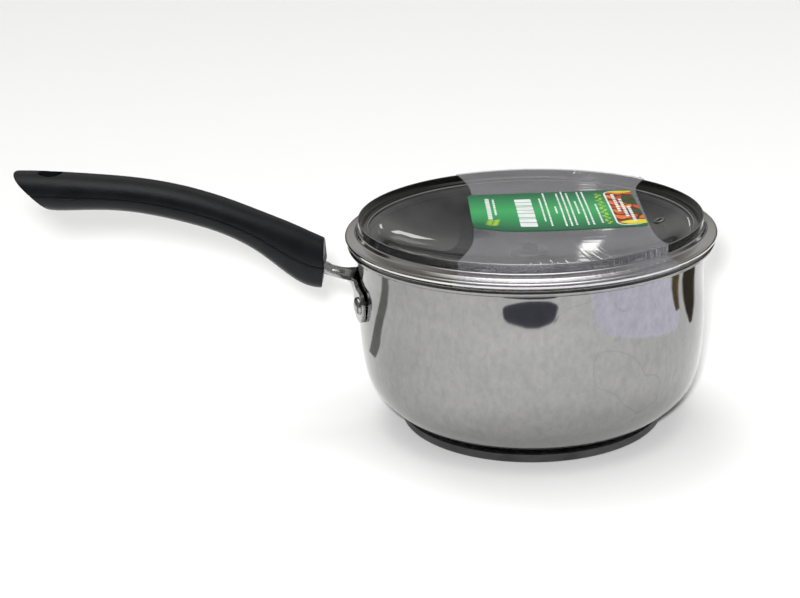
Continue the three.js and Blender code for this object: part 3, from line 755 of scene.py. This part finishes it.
def screw(name, radius, head_radius, under, end, matrix, finish, node, body):
    """A cross-head screw along Z, from the underside of its head to its end."""
    up = 1 if under > end else -1
    top = under + up * HEAD_HEIGHT
    line = [(0, end), (radius - 0.4, end), (radius, end + up * 0.4)]
    for k in range(int(abs(under - end) / THREAD_PITCH) - 1):
        base = end + up * (0.6 + THREAD_PITCH * k)
        line += [(radius, base), (radius - 0.35, base + up * 0.4)]
    line += [
        (radius, under - up * 0.5), (radius, under), (head_radius - 0.15, under),
        (head_radius, under + up * 0.2), (head_radius, under + up * 1.1),
    ]
    crown = [(1.0, 1.3), (0.8, 0.35), (0.4, 0), (0, 0)]
    crown = cubic([(head_radius * share, top - up * sunk) for share, sunk in crown], 10)
    crown[-1][0] = 0
    line += list(map(tuple, crown[1:]))
    if up < 0:
        line.reverse()
    piece = lathe(name, line, SMALL_ROUND)
    at_top = Matrix.Translation((0, 0, top))
    long, thin, deep = head_radius * 0.62, 0.45, 1.3
    bars = [box_tool((-x, -y, -deep), (x, y, deep), at_top) for x, y in ((thin, long), (long, thin))]
    cut(piece, *bars)
    move(piece, matrix)
    return finish_piece(piece, body, finish, "fastener_steel", node)


def washer(name, inner, outer, low, high, matrix, finish, slot, node, body):
    corners = [(inner, low, 0.15), (outer, low, 0.2), (outer, high, 0.2), (inner, high, 0.15)]
    piece = lathe(name, rounded(corners, closed=True, steps=3), SMALL_ROUND)
    move(piece, matrix)
    return finish_piece(piece, body, finish, slot, node)


# ---- Lid

REST_Z = 99.1
FLANGE_RADIUS = 94.7
FLANGE_TOP = 101.9
SKIRT_RADIUS = 88.0
SKIRT_TOP = 109.3
SKIRT_SHEET = 0.8
SKIRT_LEAN = 0.3  # how far the skirt narrows towards its top
LIP_RADIUS = 83.2
CHANNEL = (86.2, 99.7, 104.7)  # its radius, floor and ceiling
GLASS = 3.1
DOME_RADIUS = 81.0
DOME_DEPTH = 15.5
DOME_SPHERE = (DOME_RADIUS ** 2 + DOME_DEPTH ** 2) / (2 * DOME_DEPTH)
GLASS_EDGE = (85.2, 102.2)
VENT = (69.4, math.radians(10))  # distance from the axis, and azimuth


def dome_z(distance):
    """The height of the glass's middle surface at a distance from the axis."""
    return GLASS_EDGE[1] - DOME_DEPTH + DOME_SPHERE - math.sqrt(DOME_SPHERE ** 2 - distance ** 2)


def lid_band(steel):
    """The flange, the skirt and the channel that grips the glass, rolled from one strip."""
    wall, floor, ceiling = CHANNEL
    inner = SKIRT_RADIUS - SKIRT_SHEET
    corners = [
        (LIP_RADIUS, REST_Z, 0.25), (FLANGE_RADIUS, REST_Z, 1.3), (FLANGE_RADIUS, FLANGE_TOP - 0.1, 1.3),
        (89.3, FLANGE_TOP + 0.35, 1.6), (88.45, 104.55, 0.15), (SKIRT_RADIUS, 104.9, 0.4),
        (SKIRT_RADIUS - SKIRT_LEAN, SKIRT_TOP, 0.38), (inner - SKIRT_LEAN, SKIRT_TOP, 0.38),
        (inner, ceiling + 0.55, 0.5), (85.2, ceiling + 0.75, 1.5), (LIP_RADIUS, ceiling + 1.15, 0.35),
        (LIP_RADIUS, ceiling, 0.28), (wall, ceiling, 0.1), (wall, floor, 0.1), (LIP_RADIUS, floor, 0.25),
    ]
    band = lathe("lid_band", rounded(corners, closed=True), FINE_ROUND, sharp=50)
    return finish_piece(band, "lid", steel, "lid_steel", "lid_ring")


def gasket(finish):
    """A ring of channel section round the edge of the glass."""
    low, high, outer = CHANNEL[1] + 0.25, CHANNEL[2] - 0.25, CHANNEL[0] - 0.25
    inner, wall = LIP_RADIUS - 0.6, 0.45
    corners = [
        (inner, low, 0.2), (outer, low, 0.3), (outer, high, 0.3), (inner, high, 0.2),
        (inner, high - wall, 0.2), (outer - wall, high - wall, 0.1), (outer - wall, low + wall, 0.1),
        (inner, low + wall, 0.2),
    ]
    ring = lathe("gasket_ring", rounded(corners, closed=True, steps=3))
    return finish_piece(ring, "lid", finish, "silicone", "glass_gasket")


def vent_place():
    """+Z runs up, square to the glass, from its middle surface at the vent."""
    lean = math.asin(VENT[0] / DOME_SPHERE)
    at = (VENT[0] * math.cos(VENT[1]), VENT[0] * math.sin(VENT[1]), dome_z(VENT[0]))
    return Matrix.Translation(at) @ Matrix.Rotation(VENT[1], 4, "Z") @ Matrix.Rotation(-lean, 4, "Y")


def glass_pane(glass):
    bore, half = 3.2, GLASS / 2
    dome = [(r, dome_z(r)) for r in np.linspace(bore, DOME_RADIUS - 2, 60)]
    middle = cubic([*dome[::6], (DOME_RADIUS + 1.2, GLASS_EDGE[1] - 0.12), GLASS_EDGE], 90)
    lower, upper = offset(middle, -half), offset(middle, half)
    outline = [*map(tuple, lower[:-2]), (GLASS_EDGE[0] - 0.5, GLASS_EDGE[1] - half)]
    outline += arc(GLASS_EDGE[0] - half, GLASS_EDGE[1], half, -80, 80, 10)
    outline += [(GLASS_EDGE[0] - 1.7, GLASS_EDGE[1] + half), *map(tuple, upper[:-3][::-1])]
    outline = [p for i, p in enumerate(outline) if i == 0 or math.dist(p, outline[i - 1]) > 1e-4]
    pane = lathe("glass_pane", outline, sharp=60)
    tool = lathe("tool", [(0, -4), (2.2, -4), (2.2, 4), (0, 4)], SMALL_ROUND)
    move(tool, vent_place())
    cut(pane, tool, sharp=50)
    return finish_piece(pane, "lid", glass, "tempered_glass", "lid_glass")


def vent_grommet(steel):
    seat, sheet = GLASS / 2 + 0.08, 0.5
    corners = [
        (1.3, -seat - sheet, 0.4), (3.1, -seat - sheet, 0.35), (3.1, -seat, 0.1), (1.9, -seat, 0.05),
        (1.9, seat, 0.05), (3.1, seat, 0.1), (3.1, seat + sheet, 0.35), (1.3, seat + sheet, 0.4),
    ]
    ring = lathe("vent_ring", rounded(corners, closed=True, steps=5), SMALL_ROUND)
    move(ring, vent_place())
    return finish_piece(ring, "lid", steel, "fastener_steel", "vent_eyelet")


KNOB_END = 59.8
GLASS_TOP = GLASS_EDGE[1] - DOME_DEPTH + GLASS / 2
KNOB_TOP = GLASS_TOP - GLASS - 0.25
KNOB_BORE = 4.3
KNOB_BORE_END = 70


def knob(plastic):
    side = cubic([
        (0.0, 0.0), (6, 0.12), (11, 0.5), (18.6, 2.2), (21.3, 5.4),
        (19.6, 9.2), (14.6, 14), (11.7, 19.4), (11.4, 24.3),
    ], 60)
    side[0][0] = 0
    outline = [(r, KNOB_END + z) for r, z in side]
    outline += [(11.2, KNOB_TOP - 0.2), (11.0, KNOB_TOP), (4.6, KNOB_TOP)]
    outline += [(KNOB_BORE, KNOB_TOP - 0.3), (KNOB_BORE, KNOB_BORE_END), (0, KNOB_BORE_END)]
    return finish_piece(lathe("knob", outline, 96), "lid", plastic, "phenolic", "lid_knob")


# ---- Film and label

FILM_LEFT = [
    (-44, 100), (-36, 78), (-30.1, 52), (-28.7, 15), (-28.7, -30), (-30.5, -56), (-37, -80), (-44, -100),
]
FILM_RIGHT = [(84, 80), (68, 62), (60.5, 46), (58, 20), (57.8, -30), (60, -56), (70, -76), (86, -92)]
FILM_EDGE = SKIRT_RADIUS + 0.35
FILM_TOP = SKIRT_TOP + 0.3
FILM_SHEET = 0.09
FILM_SECTION = [
    (FILM_EDGE, FILM_TOP, 0), (FILM_EDGE + 0.15, 104.2, 2), (90.2, FLANGE_TOP + 0.5, 1.5),
    (FLANGE_RADIUS + 0.3, FLANGE_TOP + 0.35, 1.1), (FLANGE_RADIUS + 0.35, REST_Z + 0.2, 0),
]  # radius and height of its way down over the skirt and the flange
LABEL_WIDTH = 86.0
LABEL_DEPTH = 67.0
LABEL_CORNER = 3.0
LABEL_AT = (13.0, 1.5)
LABEL_TURN = math.radians(1.8)
INK_SHEET = 0.03
INK_LEVEL = 0.075  # how far the ink's middle lies over the film's own gap to the card


def film_sag(x, y):
    """How far the stretched film and its card rise or sink from flat."""
    room = smoothstep(FILM_EDGE, FILM_EDGE - 30, math.hypot(x, y))
    lift = 2.0 * math.exp(-((x + 30) / 12) ** 2 - ((y + 31) / 10) ** 2)
    dip = -1.1 * math.exp(-((x - 12) / 34) ** 2 - ((y + 26) / 22) ** 2)
    return float(room * (lift + dip))


def film_border(table, y):
    line = cubic(sorted(table, key=lambda p: p[1]), 200)
    return float(np.interp(y, line[:, 1], line[:, 0]))


def film_x(share, y):
    """The sideways place of the film's lengthwise line, from the left border (0) to the right one (1)."""
    return film_border(FILM_LEFT, y) * (1 - share) + film_border(FILM_RIGHT, y) * share


def film_edge_point(share, side):
    """Where one lengthwise line of the film crosses the skirt's edge, at the front (-1) or back (1)."""
    y = side * 75.0
    for _ in range(12):
        x = film_x(share, y)
        y = side * math.sqrt(FILM_EDGE ** 2 - min(abs(x), 80) ** 2)
    return x, y


def make_puckers(rng):
    """Small folds round the skirt as (side, share of the film's width, width, height)."""
    puckers = []
    for side in (-1, 1):
        for _ in range(46):
            at, wide = rng.uniform(0.02, 0.98), rng.uniform(0.0022, 0.0065)
            puckers.append((side, at, wide, rng.uniform(0.08, 0.34)))
        for share in (0.955, 0.968, 0.982, 0.9):
            puckers.append((side, share, 0.006, 0.42))
    return puckers


def film(finish):
    """The band over the lid and down its edge, in lengthwise lines from its left border to its right one."""
    puckers = make_puckers(random.Random(7))

    def pucker(side, share):
        return sum(tall * math.exp(-((share - at) / wide) ** 2) for s, at, wide, tall in puckers if s == side)

    across = 300
    section = np.array(rounded(FILM_SECTION, steps=6))
    drop = travelled(section)
    downs = np.linspace(0, drop[-1], 34)
    grid = []
    for j in range(across + 1):
        share = j / across
        front, back = film_edge_point(share, -1), film_edge_point(share, 1)
        line = []
        for at in downs[::-1]:
            line.append(edge_point(front, at, section, drop, pucker(-1, share)))
        for s in 0.5 - 0.5 * np.cos(np.linspace(0, math.pi, 90))[1:-1]:
            y = front[1] + (back[1] - front[1]) * s
            x = film_x(share, y)
            near = min(s, 1 - s) * (back[1] - front[1])
            ripple = pucker(-1 if s < 0.5 else 1, share) * math.exp(-near / 4.0)
            line.append((x, y, FILM_TOP + film_sag(x, y) + 0.5 * ripple))
        for at in downs:
            line.append(edge_point(back, at, section, drop, pucker(1, share)))
        grid.append(line)
    vertices = [p for line in grid for p in line]
    sheet = mesh_object("film_wrap", vertices, grid_faces(len(grid), len(grid[0])), sharp=180)
    thick = sheet.modifiers.new("thickness", "SOLIDIFY")
    thick.thickness = FILM_SHEET * MM
    thick.offset = 0
    apply_modifiers(sheet)
    return finish_piece(sheet, "lid", finish, "clear_film", "film_band")


def edge_point(edge, at, section, drop, ripple):
    """A point of the film below the skirt's edge, a distance down its section, pushed out by a pucker."""
    radius = np.interp(at, drop, section[:, 0])
    height = np.interp(at, drop, section[:, 1])
    fade = 1 - smoothstep(drop[-1] - 4.5, drop[-1] - 2.0, at)
    scale = (radius + 0.5 * ripple * fade) / math.hypot(*edge)
    return edge[0] * scale, edge[1] * scale, height + 0.5 * ripple * fade


def label_place(level):
    """Puts a point of the card's own plane, and a height over its face, on the stretched film."""
    c, s = math.cos(LABEL_TURN), math.sin(LABEL_TURN)

    def place(side, along, up):
        x = LABEL_AT[0] + side * c - along * s
        y = LABEL_AT[1] + side * s + along * c
        return x, y, FILM_TOP + 0.30 + level + film_sag(x, y) + up

    return place


def round_rows(low, high, bottom, top, corner, steps=8):
    """Rows of a rectangle with rounded corners."""
    rows = []
    for k in range(steps + 1):
        lean = math.pi / 2 * k / steps
        inset = corner * (1 - math.sin(lean))
        rows.append((bottom + corner * (1 - math.cos(lean)), low + inset, high - inset))
    middle = max(int((top - bottom - 2 * corner) / 2), 1)
    for k in range(1, middle):
        rows.append((bottom + corner + (top - bottom - 2 * corner) * k / middle, low, high))
    for k in range(steps + 1):
        lean = math.pi / 2 * k / steps
        inset = corner * (1 - math.cos(lean))
        rows.append((top - corner + corner * math.sin(lean), low + inset, high - inset))
    return rows


def patch(name, rows, level, across=8):
    return slab(name, rows, across, INK_SHEET, label_place(level))


def block(low, high, bottom, top, corner=0.2, level=INK_LEVEL, across=4):
    return patch("block", round_rows(low, high, bottom, top, corner, 3), level, across)


def column(rng, x, width, start, end, sizes, gap, **shape_of):
    """A line of blocks of random length up the card."""
    blocks = []
    y = start
    while y < end:
        size = rng.uniform(*sizes)
        blocks.append(block(x, x + width, y, y + size, **shape_of))
        y += size + gap
    return blocks


def tapered(x, y, length, width, lean):
    """Rows of a carrot shape: wide and round at one end, narrowing to the other."""
    rows = []
    for k in range(19):
        t = k / 18
        shoulder = math.sin(math.pi * min(t * 2.2, 1.0) / 2 + 0.001)
        half = max(width / 2 * shoulder * (1 - 0.75 * t) ** 0.6 * (1 - t ** 8), 0.02)
        rows.append((t * length, -half, half))
    return rows, Matrix.Translation((x, y, 0)) @ Matrix.Rotation(lean, 4, "Z")


def join(name, parts, finish, slot):
    """Joins small solids into one piece that rides on the lid."""
    vertices, faces = [], []
    for part in parts:
        base = len(vertices)
        vertices += [tuple(v.co / MM) for v in part.data.vertices]
        faces += [[base + i for i in p.vertices] for p in part.data.polygons]
        bpy.data.objects.remove(part)
    piece = mesh_object(name, vertices, faces)
    return finish_piece(piece, "lid", finish, slot)


def shape(rows, matrix, level):
    """A small flat shape drawn in its own frame and laid on the card."""
    on_card = label_place(level)

    def place(side, along, up):
        at = matrix @ Vector((side, along, 0))
        return on_card(at.x, at.y, up)

    return slab("shape", rows, 6, INK_SHEET, place)


def label():
    """The card and its print, which reads as text from afar but spells nothing."""
    half_w, half_d = LABEL_WIDTH / 2, LABEL_DEPTH / 2
    rows = round_rows(-half_w, half_w, -half_d, half_d, LABEL_CORNER)
    card = slab("label_card", rows, 60, 0.3, label_place(-0.1))
    finish_piece(card, "lid", card_green(), "printed_card", "label")
    white = printed("ink_white", (0.80, 0.83, 0.82))
    lime = printed("ink_lime", (0.42, 0.62, 0.04))
    rng = random.Random(11)

    # A column of blocks that reads as a heading, then thinner lines of small blocks
    parts = []
    y = -26.5
    for width in (7.6, 6.4, 2.4, 6.8, 5.8, 6.2, 2.4, 6.6, 6.2):
        parts.append(block(-19.2, -10.6, y, y + width - 1.1, 0.5, across=8))
        y += width - 0.2
    for x, width, start, end in ((-34.5, 2.2, -13, 24), (-30.8, 1.1, -6, 22)):
        parts += column(rng, x, width, start, end, (1.6, 3.4), 0.7)
    for x, start, end in (
        (-6.5, -18, 22), (-3.8, -26, 29), (0.4, -6, 6), (3.2, -27, 29), (5.9, -27, 30), (8.4, -26, 30),
        (11.4, -8, 12), (14.2, -27, 31), (16.8, -27, 30), (21.3, -25, 6),
    ):
        parts += column(rng, x, 0.9, start, end, (1.4, 4.2), 0.6)
    join("print_white", parts, white, "printed_card")

    # A small sprig by the heading, and a lime squiggle before the picture
    parts = []
    for k in range(5):
        for side in (-1, 1):
            rows, matrix = tapered(-33.5 + 0.4 * k, -26.0 + 2.4 * k, 4.2, 2.0, side * -0.9)
            parts.append(shape(rows, matrix, 0.08))
    for k in range(26):
        at = -27 + 2.1 * k
        sway = 1.2 * math.sin(k * 1.9)
        parts.append(block(23.9 + sway, 25.6 + sway, at, at + 1.5, 0.5))
    join("print_lime", parts, lime, "printed_card")

    picture(rng, white)


def picture(rng, white):
    """The print's picture: a white frame, a dark ground, roots, leaves and fruit, cut off at the frame."""
    left, right, low, high = 28.2, LABEL_WIDTH / 2, -31.2, 31.6
    rim = 0.9

    def inside(x, y):
        """The nearest point within the frame."""
        edge = round_rows(left + rim, right, low + rim, high - rim, 5.2)
        alongs = [row[0] for row in edge]
        y = min(max(y, alongs[0]), alongs[-1])
        return min(max(x, float(np.interp(y, alongs, [row[1] for row in edge]))), right), y

    def fruit(x, y, length, width, lean, level, blunt=1.0):
        turn = Matrix.Translation((x, y, 0)) @ Matrix.Rotation(lean, 4, "Z")
        on_card = label_place(level)
        rows = []
        for k in range(21):
            t = k / 20
            half = width / 2 * max(math.sin(math.pi * t ** (1 / (1 + blunt))) ** 0.6, 0.02)
            rows.append(((t - 0.5) * length, -half, half))

        def place(side, along, up):
            at = turn @ Vector((side, along, 0))
            return on_card(*inside(at.x, at.y), up)

        return slab("fruit", rows, 7, INK_SHEET, place)

    frame_patch = patch("frame", round_rows(left, right, low, high, 6), 0.07, 12)
    join("print_frame", [frame_patch], white, "printed_card")
    ground = patch("ground", round_rows(left + rim, right, low + rim, high - rim, 5.2), 0.10, 12)
    ink_dark = printed("ink_dark", (0.10, 0.035, 0.02), (0.035, 0.03, 0.015))
    join("print_ground", [ground], ink_dark, "printed_card")
    carrots, deep, greens = [], [], []
    level = 0.125
    for line in range(4):
        for row in range(7):
            x = left + 2.5 + line * 3.9 + rng.uniform(-0.8, 0.8)
            y = low + 5 + row * 8.9 + rng.uniform(-1.6, 1.6)
            leafy = line > 1 and row in (2, 4, 5)
            group = greens if leafy else (carrots if (row + line) % 3 else deep)
            size = rng.uniform(3.2, 4.6)
            group.append(fruit(x, y, size * 2.1, size, rng.uniform(-1.2, 1.2), level, rng.uniform(0.2, 0.9)))
            level += 0.003
    ink_carrot = printed("ink_carrot", (0.80, 0.24, 0.045), (0.62, 0.11, 0.02))
    join("print_carrots", carrots, ink_carrot, "printed_card")
    ink_tomato = printed("ink_tomato", (0.60, 0.09, 0.025), (0.36, 0.04, 0.015))
    join("print_tomatoes", deep, ink_tomato, "printed_card")
    ink_leaf = printed("ink_leaf", (0.035, 0.12, 0.02), (0.015, 0.045, 0.01))
    join("print_leaves", greens, ink_leaf, "printed_card")
    lemons = [
        fruit(right - 4.5, low + 4.6, 17, 7.4, math.pi / 2, 0.23, 0.1),
        fruit(right - 6, high - 2.4, 15, 4.2, math.pi / 2, 0.23, 0.1),
    ]
    ink_yellow = printed("ink_yellow", (0.72, 0.66, 0.05), (0.60, 0.52, 0.03))
    join("print_lemons", lemons, ink_yellow, "printed_card")
    dashes = []
    for x, start, end in ((31.6, -8, 25), (34.4, -17, 14), (37.0, -25, -2)):
        dashes += column(rng, x, 1.7, start, end, (1.8, 3.2), 0.9, corner=0.5, level=0.25)
    join("print_dashes", dashes, white, "printed_card")


# ---- Stage: floor, lights and world

def reflection_only(obj):
    """The object shows in polished surfaces but not in the picture itself."""
    obj.visible_camera = False
    obj.visible_diffuse = False
    obj.visible_shadow = False
    obj.visible_transmission = False


def glow(name, colour, strength):
    n = Nodes(name)
    n.tree.nodes.remove(n.shader)
    light = n.add("ShaderNodeEmission", Color=(*colour, 1), Strength=strength)
    n.tree.links.new(light.outputs[0], n.output.inputs["Surface"])
    return n.material


def card(name, azimuth, elevation, distance, width, height, colour, strength=1.0):
    """An upright card facing the pan. Azimuth 0 is behind the pan, and positive is to the right."""
    a, e = math.radians(azimuth), math.radians(elevation)
    w, h = width / 2, height / 2
    obj = mesh_object(name, [(-w, 0, -h), (w, 0, -h), (w, 0, h), (-w, 0, h)], [(0, 1, 2, 3)])
    centre = Vector((math.sin(a) * math.cos(e), math.cos(a) * math.cos(e), math.sin(e))) * distance
    move(obj, Matrix.Translation(centre + Vector((0, 0, 100))) @ Matrix.Rotation(-a, 4, "Z"))
    obj.data.materials.append(glow(name, colour, strength))
    reflection_only(obj)


HUNG_RADIUS = 104.0
HUNG_NEARER = 103.4  # in front of the others
FLOOR_REACH = 6000
PAPER_RADIUS = 465  # beyond it, polished surfaces see a painted dark reflection instead of the pale floor


def hung(name, rows, colour, radius=HUNG_NEARER):
    """A glowing curved patch, a painted reflection that only polished surfaces see, from rows (height, low
    and high azimuth).
    """
    count, columns = 40, 9
    vertices = []
    for height, low, high in cubic(rows, count):
        for angle in np.radians(np.linspace(low, high, columns)):
            vertices.append((radius * math.cos(angle), radius * math.sin(angle), height))
    obj = mesh_object(name, vertices, grid_faces(count, columns))
    obj.data.materials.append(glow(name, colour, 1.0))
    reflection_only(obj)


def stage():
    """The pale floor, and the painted reflections round the pan that its steel mirrors."""
    corners = [(x * FLOOR_REACH, y * FLOOR_REACH, 0) for x, y in ((-1, -1), (1, -1), (1, 1), (-1, 1))]
    floor = mesh_object("floor", corners, [(0, 1, 2, 3)])
    n = Nodes("floor_paper")
    n.set(Base_Color=(0.90, 0.90, 0.90, 1), Roughness=0.9)
    floor.data.materials.append(n.material)
    # A near-black glowing ring that lights nothing and shows only in polished surfaces: a painted dark
    # reflection beyond the floor's edge.
    painted_dark_ring = lathe("painted_dark_reflection_ring", [(PAPER_RADIUS, 1.0), (520, 1.5), (2500, 2.0)], 96, closed=False)
    painted_dark_ring.data.materials.append(glow("painted_dark_room_reflection", (0.02, 0.02, 0.022), 1.0))
    reflection_only(painted_dark_ring)
    # A glowing card that lights nothing and shows only in the film and glass: a painted reflection of a
    # window.
    card("painted_window_reflection", 6.3, 17.1, 1500, 25, 86, (1.0, 0.99, 0.95), 3.0)
    # Painted reflections in the pan's steel: a dark oval, a pale lavender patch, a dark patch, a brown patch
    # and a grey-green strip.
    hung("painted_dark_oval_reflection", [
        (72.4, -94, -90), (73.2, -98.5, -86.5), (75, -102.5, -83.6), (76.8, -102.5, -83), (78.4, -99.5, -84),
        (79.4, -96, -86), (79.9, -93, -89),
    ], (0.13, 0.13, 0.165), HUNG_RADIUS)
    hung("painted_pale_reflection", [
        (90, -71.6, -58), (84, -71, -44), (78, -70.7, -34), (70, -67.5, -27), (65, -58, -27), (60, -44, -28),
        (57.7, -34, -30),
    ], (1.32, 1.29, 1.50), HUNG_RADIUS)
    hung("painted_dark_patch_reflection", [
        (84, -24, -20), (79, -24, -13), (72, -23, -9), (66, -22, -10), (60, -20, -13), (55, -18, -15.5),
    ], (0.07, 0.06, 0.045))
    hung("painted_brown_reflection", [
        (85, -33, -30), (79, -32.5, -27), (72, -31, -26.5), (67, -29.5, -26.5),
    ], (0.20, 0.14, 0.06))
    hung("painted_green_reflection", [
        (80, -158.5, -154), (68, -163, -156.7), (55, -167, -160), (45, -171, -162.5), (33, -178, -170),
    ], (0.30, 0.31, 0.28))


def world():
    """Dim at the horizon, dimmer towards the front, and bright overhead, as under a lamp over a table."""
    sky = bpy.data.worlds.new("world")
    bpy.context.scene.world = sky
    sky.use_nodes = True
    tree = sky.node_tree
    place = tree.nodes.new("ShaderNodeTexCoord")
    parts = tree.nodes.new("ShaderNodeSeparateXYZ")
    tree.links.new(place.outputs["Generated"], parts.inputs[0])

    def ramp(stops):
        node = tree.nodes.new("ShaderNodeValToRGB")
        fill_ramp(node, [(at, (level, level * 0.995, level * 0.985)) for at, level in stops])
        tree.links.new(parts.outputs["Z"], node.inputs[0])
        return node.outputs[0]

    low = ramp([(0, 0.03), (0.10, 0.08), (0.24, 0.34), (0.36, 0.40), (0.56, 0.17), (0.80, 0.0)])
    high = ramp([(0.56, 0.0), (0.80, 0.22), (0.90, 0.90), (0.96, 2.5), (1.0, 3.1)])
    behind = tree.nodes.new("ShaderNodeMapRange")
    for name, value in (("From Min", -0.6), ("From Max", 0.3), ("To Min", 0.35), ("To Max", 1.0)):
        behind.inputs[name].default_value = value
    tree.links.new(parts.outputs["Y"], behind.inputs["Value"])
    scaled = tree.nodes.new("ShaderNodeVectorMath")
    scaled.operation = "SCALE"
    tree.links.new(low, scaled.inputs[0])
    tree.links.new(behind.outputs[0], scaled.inputs["Scale"])
    total = tree.nodes.new("ShaderNodeVectorMath")
    total.operation = "ADD"
    tree.links.new(scaled.outputs[0], total.inputs[0])
    tree.links.new(high, total.inputs[1])
    tree.links.new(total.outputs[0], tree.nodes["Background"].inputs["Color"])
    tree.nodes["Background"].inputs["Strength"].default_value = 1.0


TOP_DIRECTION = (0.18, -0.42, -0.90)
FRONT_AT = (-60, -770, 368)


def hang_lamp(light):
    """An object for a light, which shows in no polished surface."""
    lamp = bpy.data.objects.new(light.name, light)
    bpy.context.scene.collection.objects.link(lamp)
    lamp.visible_glossy = False
    return lamp


def lights():
    """A soft lamp above and behind, and one at the front that throws the handle's shadow back."""
    top = bpy.data.lights.new("top", "SUN")
    top.energy = 0.80
    top.angle = math.radians(32)
    hang_lamp(top).rotation_euler = Vector(TOP_DIRECTION).to_track_quat("-Z", "Y").to_euler()
    front = bpy.data.lights.new("front", "POINT")
    front.energy = 45
    front.shadow_soft_size = 0.022
    front.use_nodes = True
    tree = front.node_tree
    steady = tree.nodes.new("ShaderNodeLightFalloff")
    steady.inputs["Strength"].default_value = 1.0
    tree.links.new(steady.outputs["Constant"], tree.nodes["Emission"].inputs["Strength"])
    hang_lamp(front).location = Vector(FRONT_AT) * MM


# ---- Build

make_camera()
bpy.context.scene.view_settings.view_transform = "Standard"

steel_pan = polished_steel()
steel_lid = lid_steel()
steel_satin = satin_steel("satin_steel", 0.42, 0.2)
steel_fastener = satin_steel("fastener_steel", 0.34, 0.22)
steel_base = spun_steel()
black = phenolic()
silicone = rubber()
brass = metal("brass", (0.70, 0.50, 0.20), 0.25)
aluminium = metal("aluminium", (0.72, 0.73, 0.74), 0.35)

pan_shell(steel_pan)
base_disc(steel_base)
bracket(steel_satin)
rivet("rivet_head_back", -1, steel_satin, "rivet_back")
rivet("rivet_head_front", 1, steel_satin, "rivet_front")
grip(black)
place = screw_place()
screw("grip_screw", 2.0, 3.5, 5.6, -5.4, place, steel_fastener, "handle_screw", "pan")
washer(
    "grip_washer", 2.25, 3.5, 4.5, 5.3,
    place, steel_fastener, "fastener_steel", "handle_lock_washer", "pan",
)

lid_band(steel_lid)
gasket(silicone)
glass_pane(clear_sheet("tempered_glass", (0.58, 0.59, 0.585), 0.025, 0.05, (0.5, 0.51, 0.5)))
vent_grommet(steel_fastener)
knob(black)
still = Matrix.Identity(4)
washer(
    "knob_seal_ring", 3.2, 8.5, GLASS_TOP + 0.05, GLASS_TOP + 1.0,
    still, silicone, "silicone", "knob_seal", "lid",
)
washer(
    "knob_cup_washer", 2.6, 9.5, GLASS_TOP + 1.1, GLASS_TOP + 2.0,
    still, steel_fastener, "fastener_steel", "knob_washer", "lid",
)
screw("knob_bolt", 2.3, 4.3, GLASS_TOP + 2.3, 72, still, steel_fastener, "knob_screw", "lid")
film(clear_sheet("clear_film", (0.97, 0.97, 0.98), 0.06, 0.05, (0.62, 0.62, 0.70), film_bump))
label()

for node, finish in (("base_core", aluminium), ("handle_nut", steel_fastener), ("knob_insert", brass)):
    part = frame["nodes"][node]
    part.data.materials.clear()
    part.data.materials.append(finish)

stage()
lights()
world()
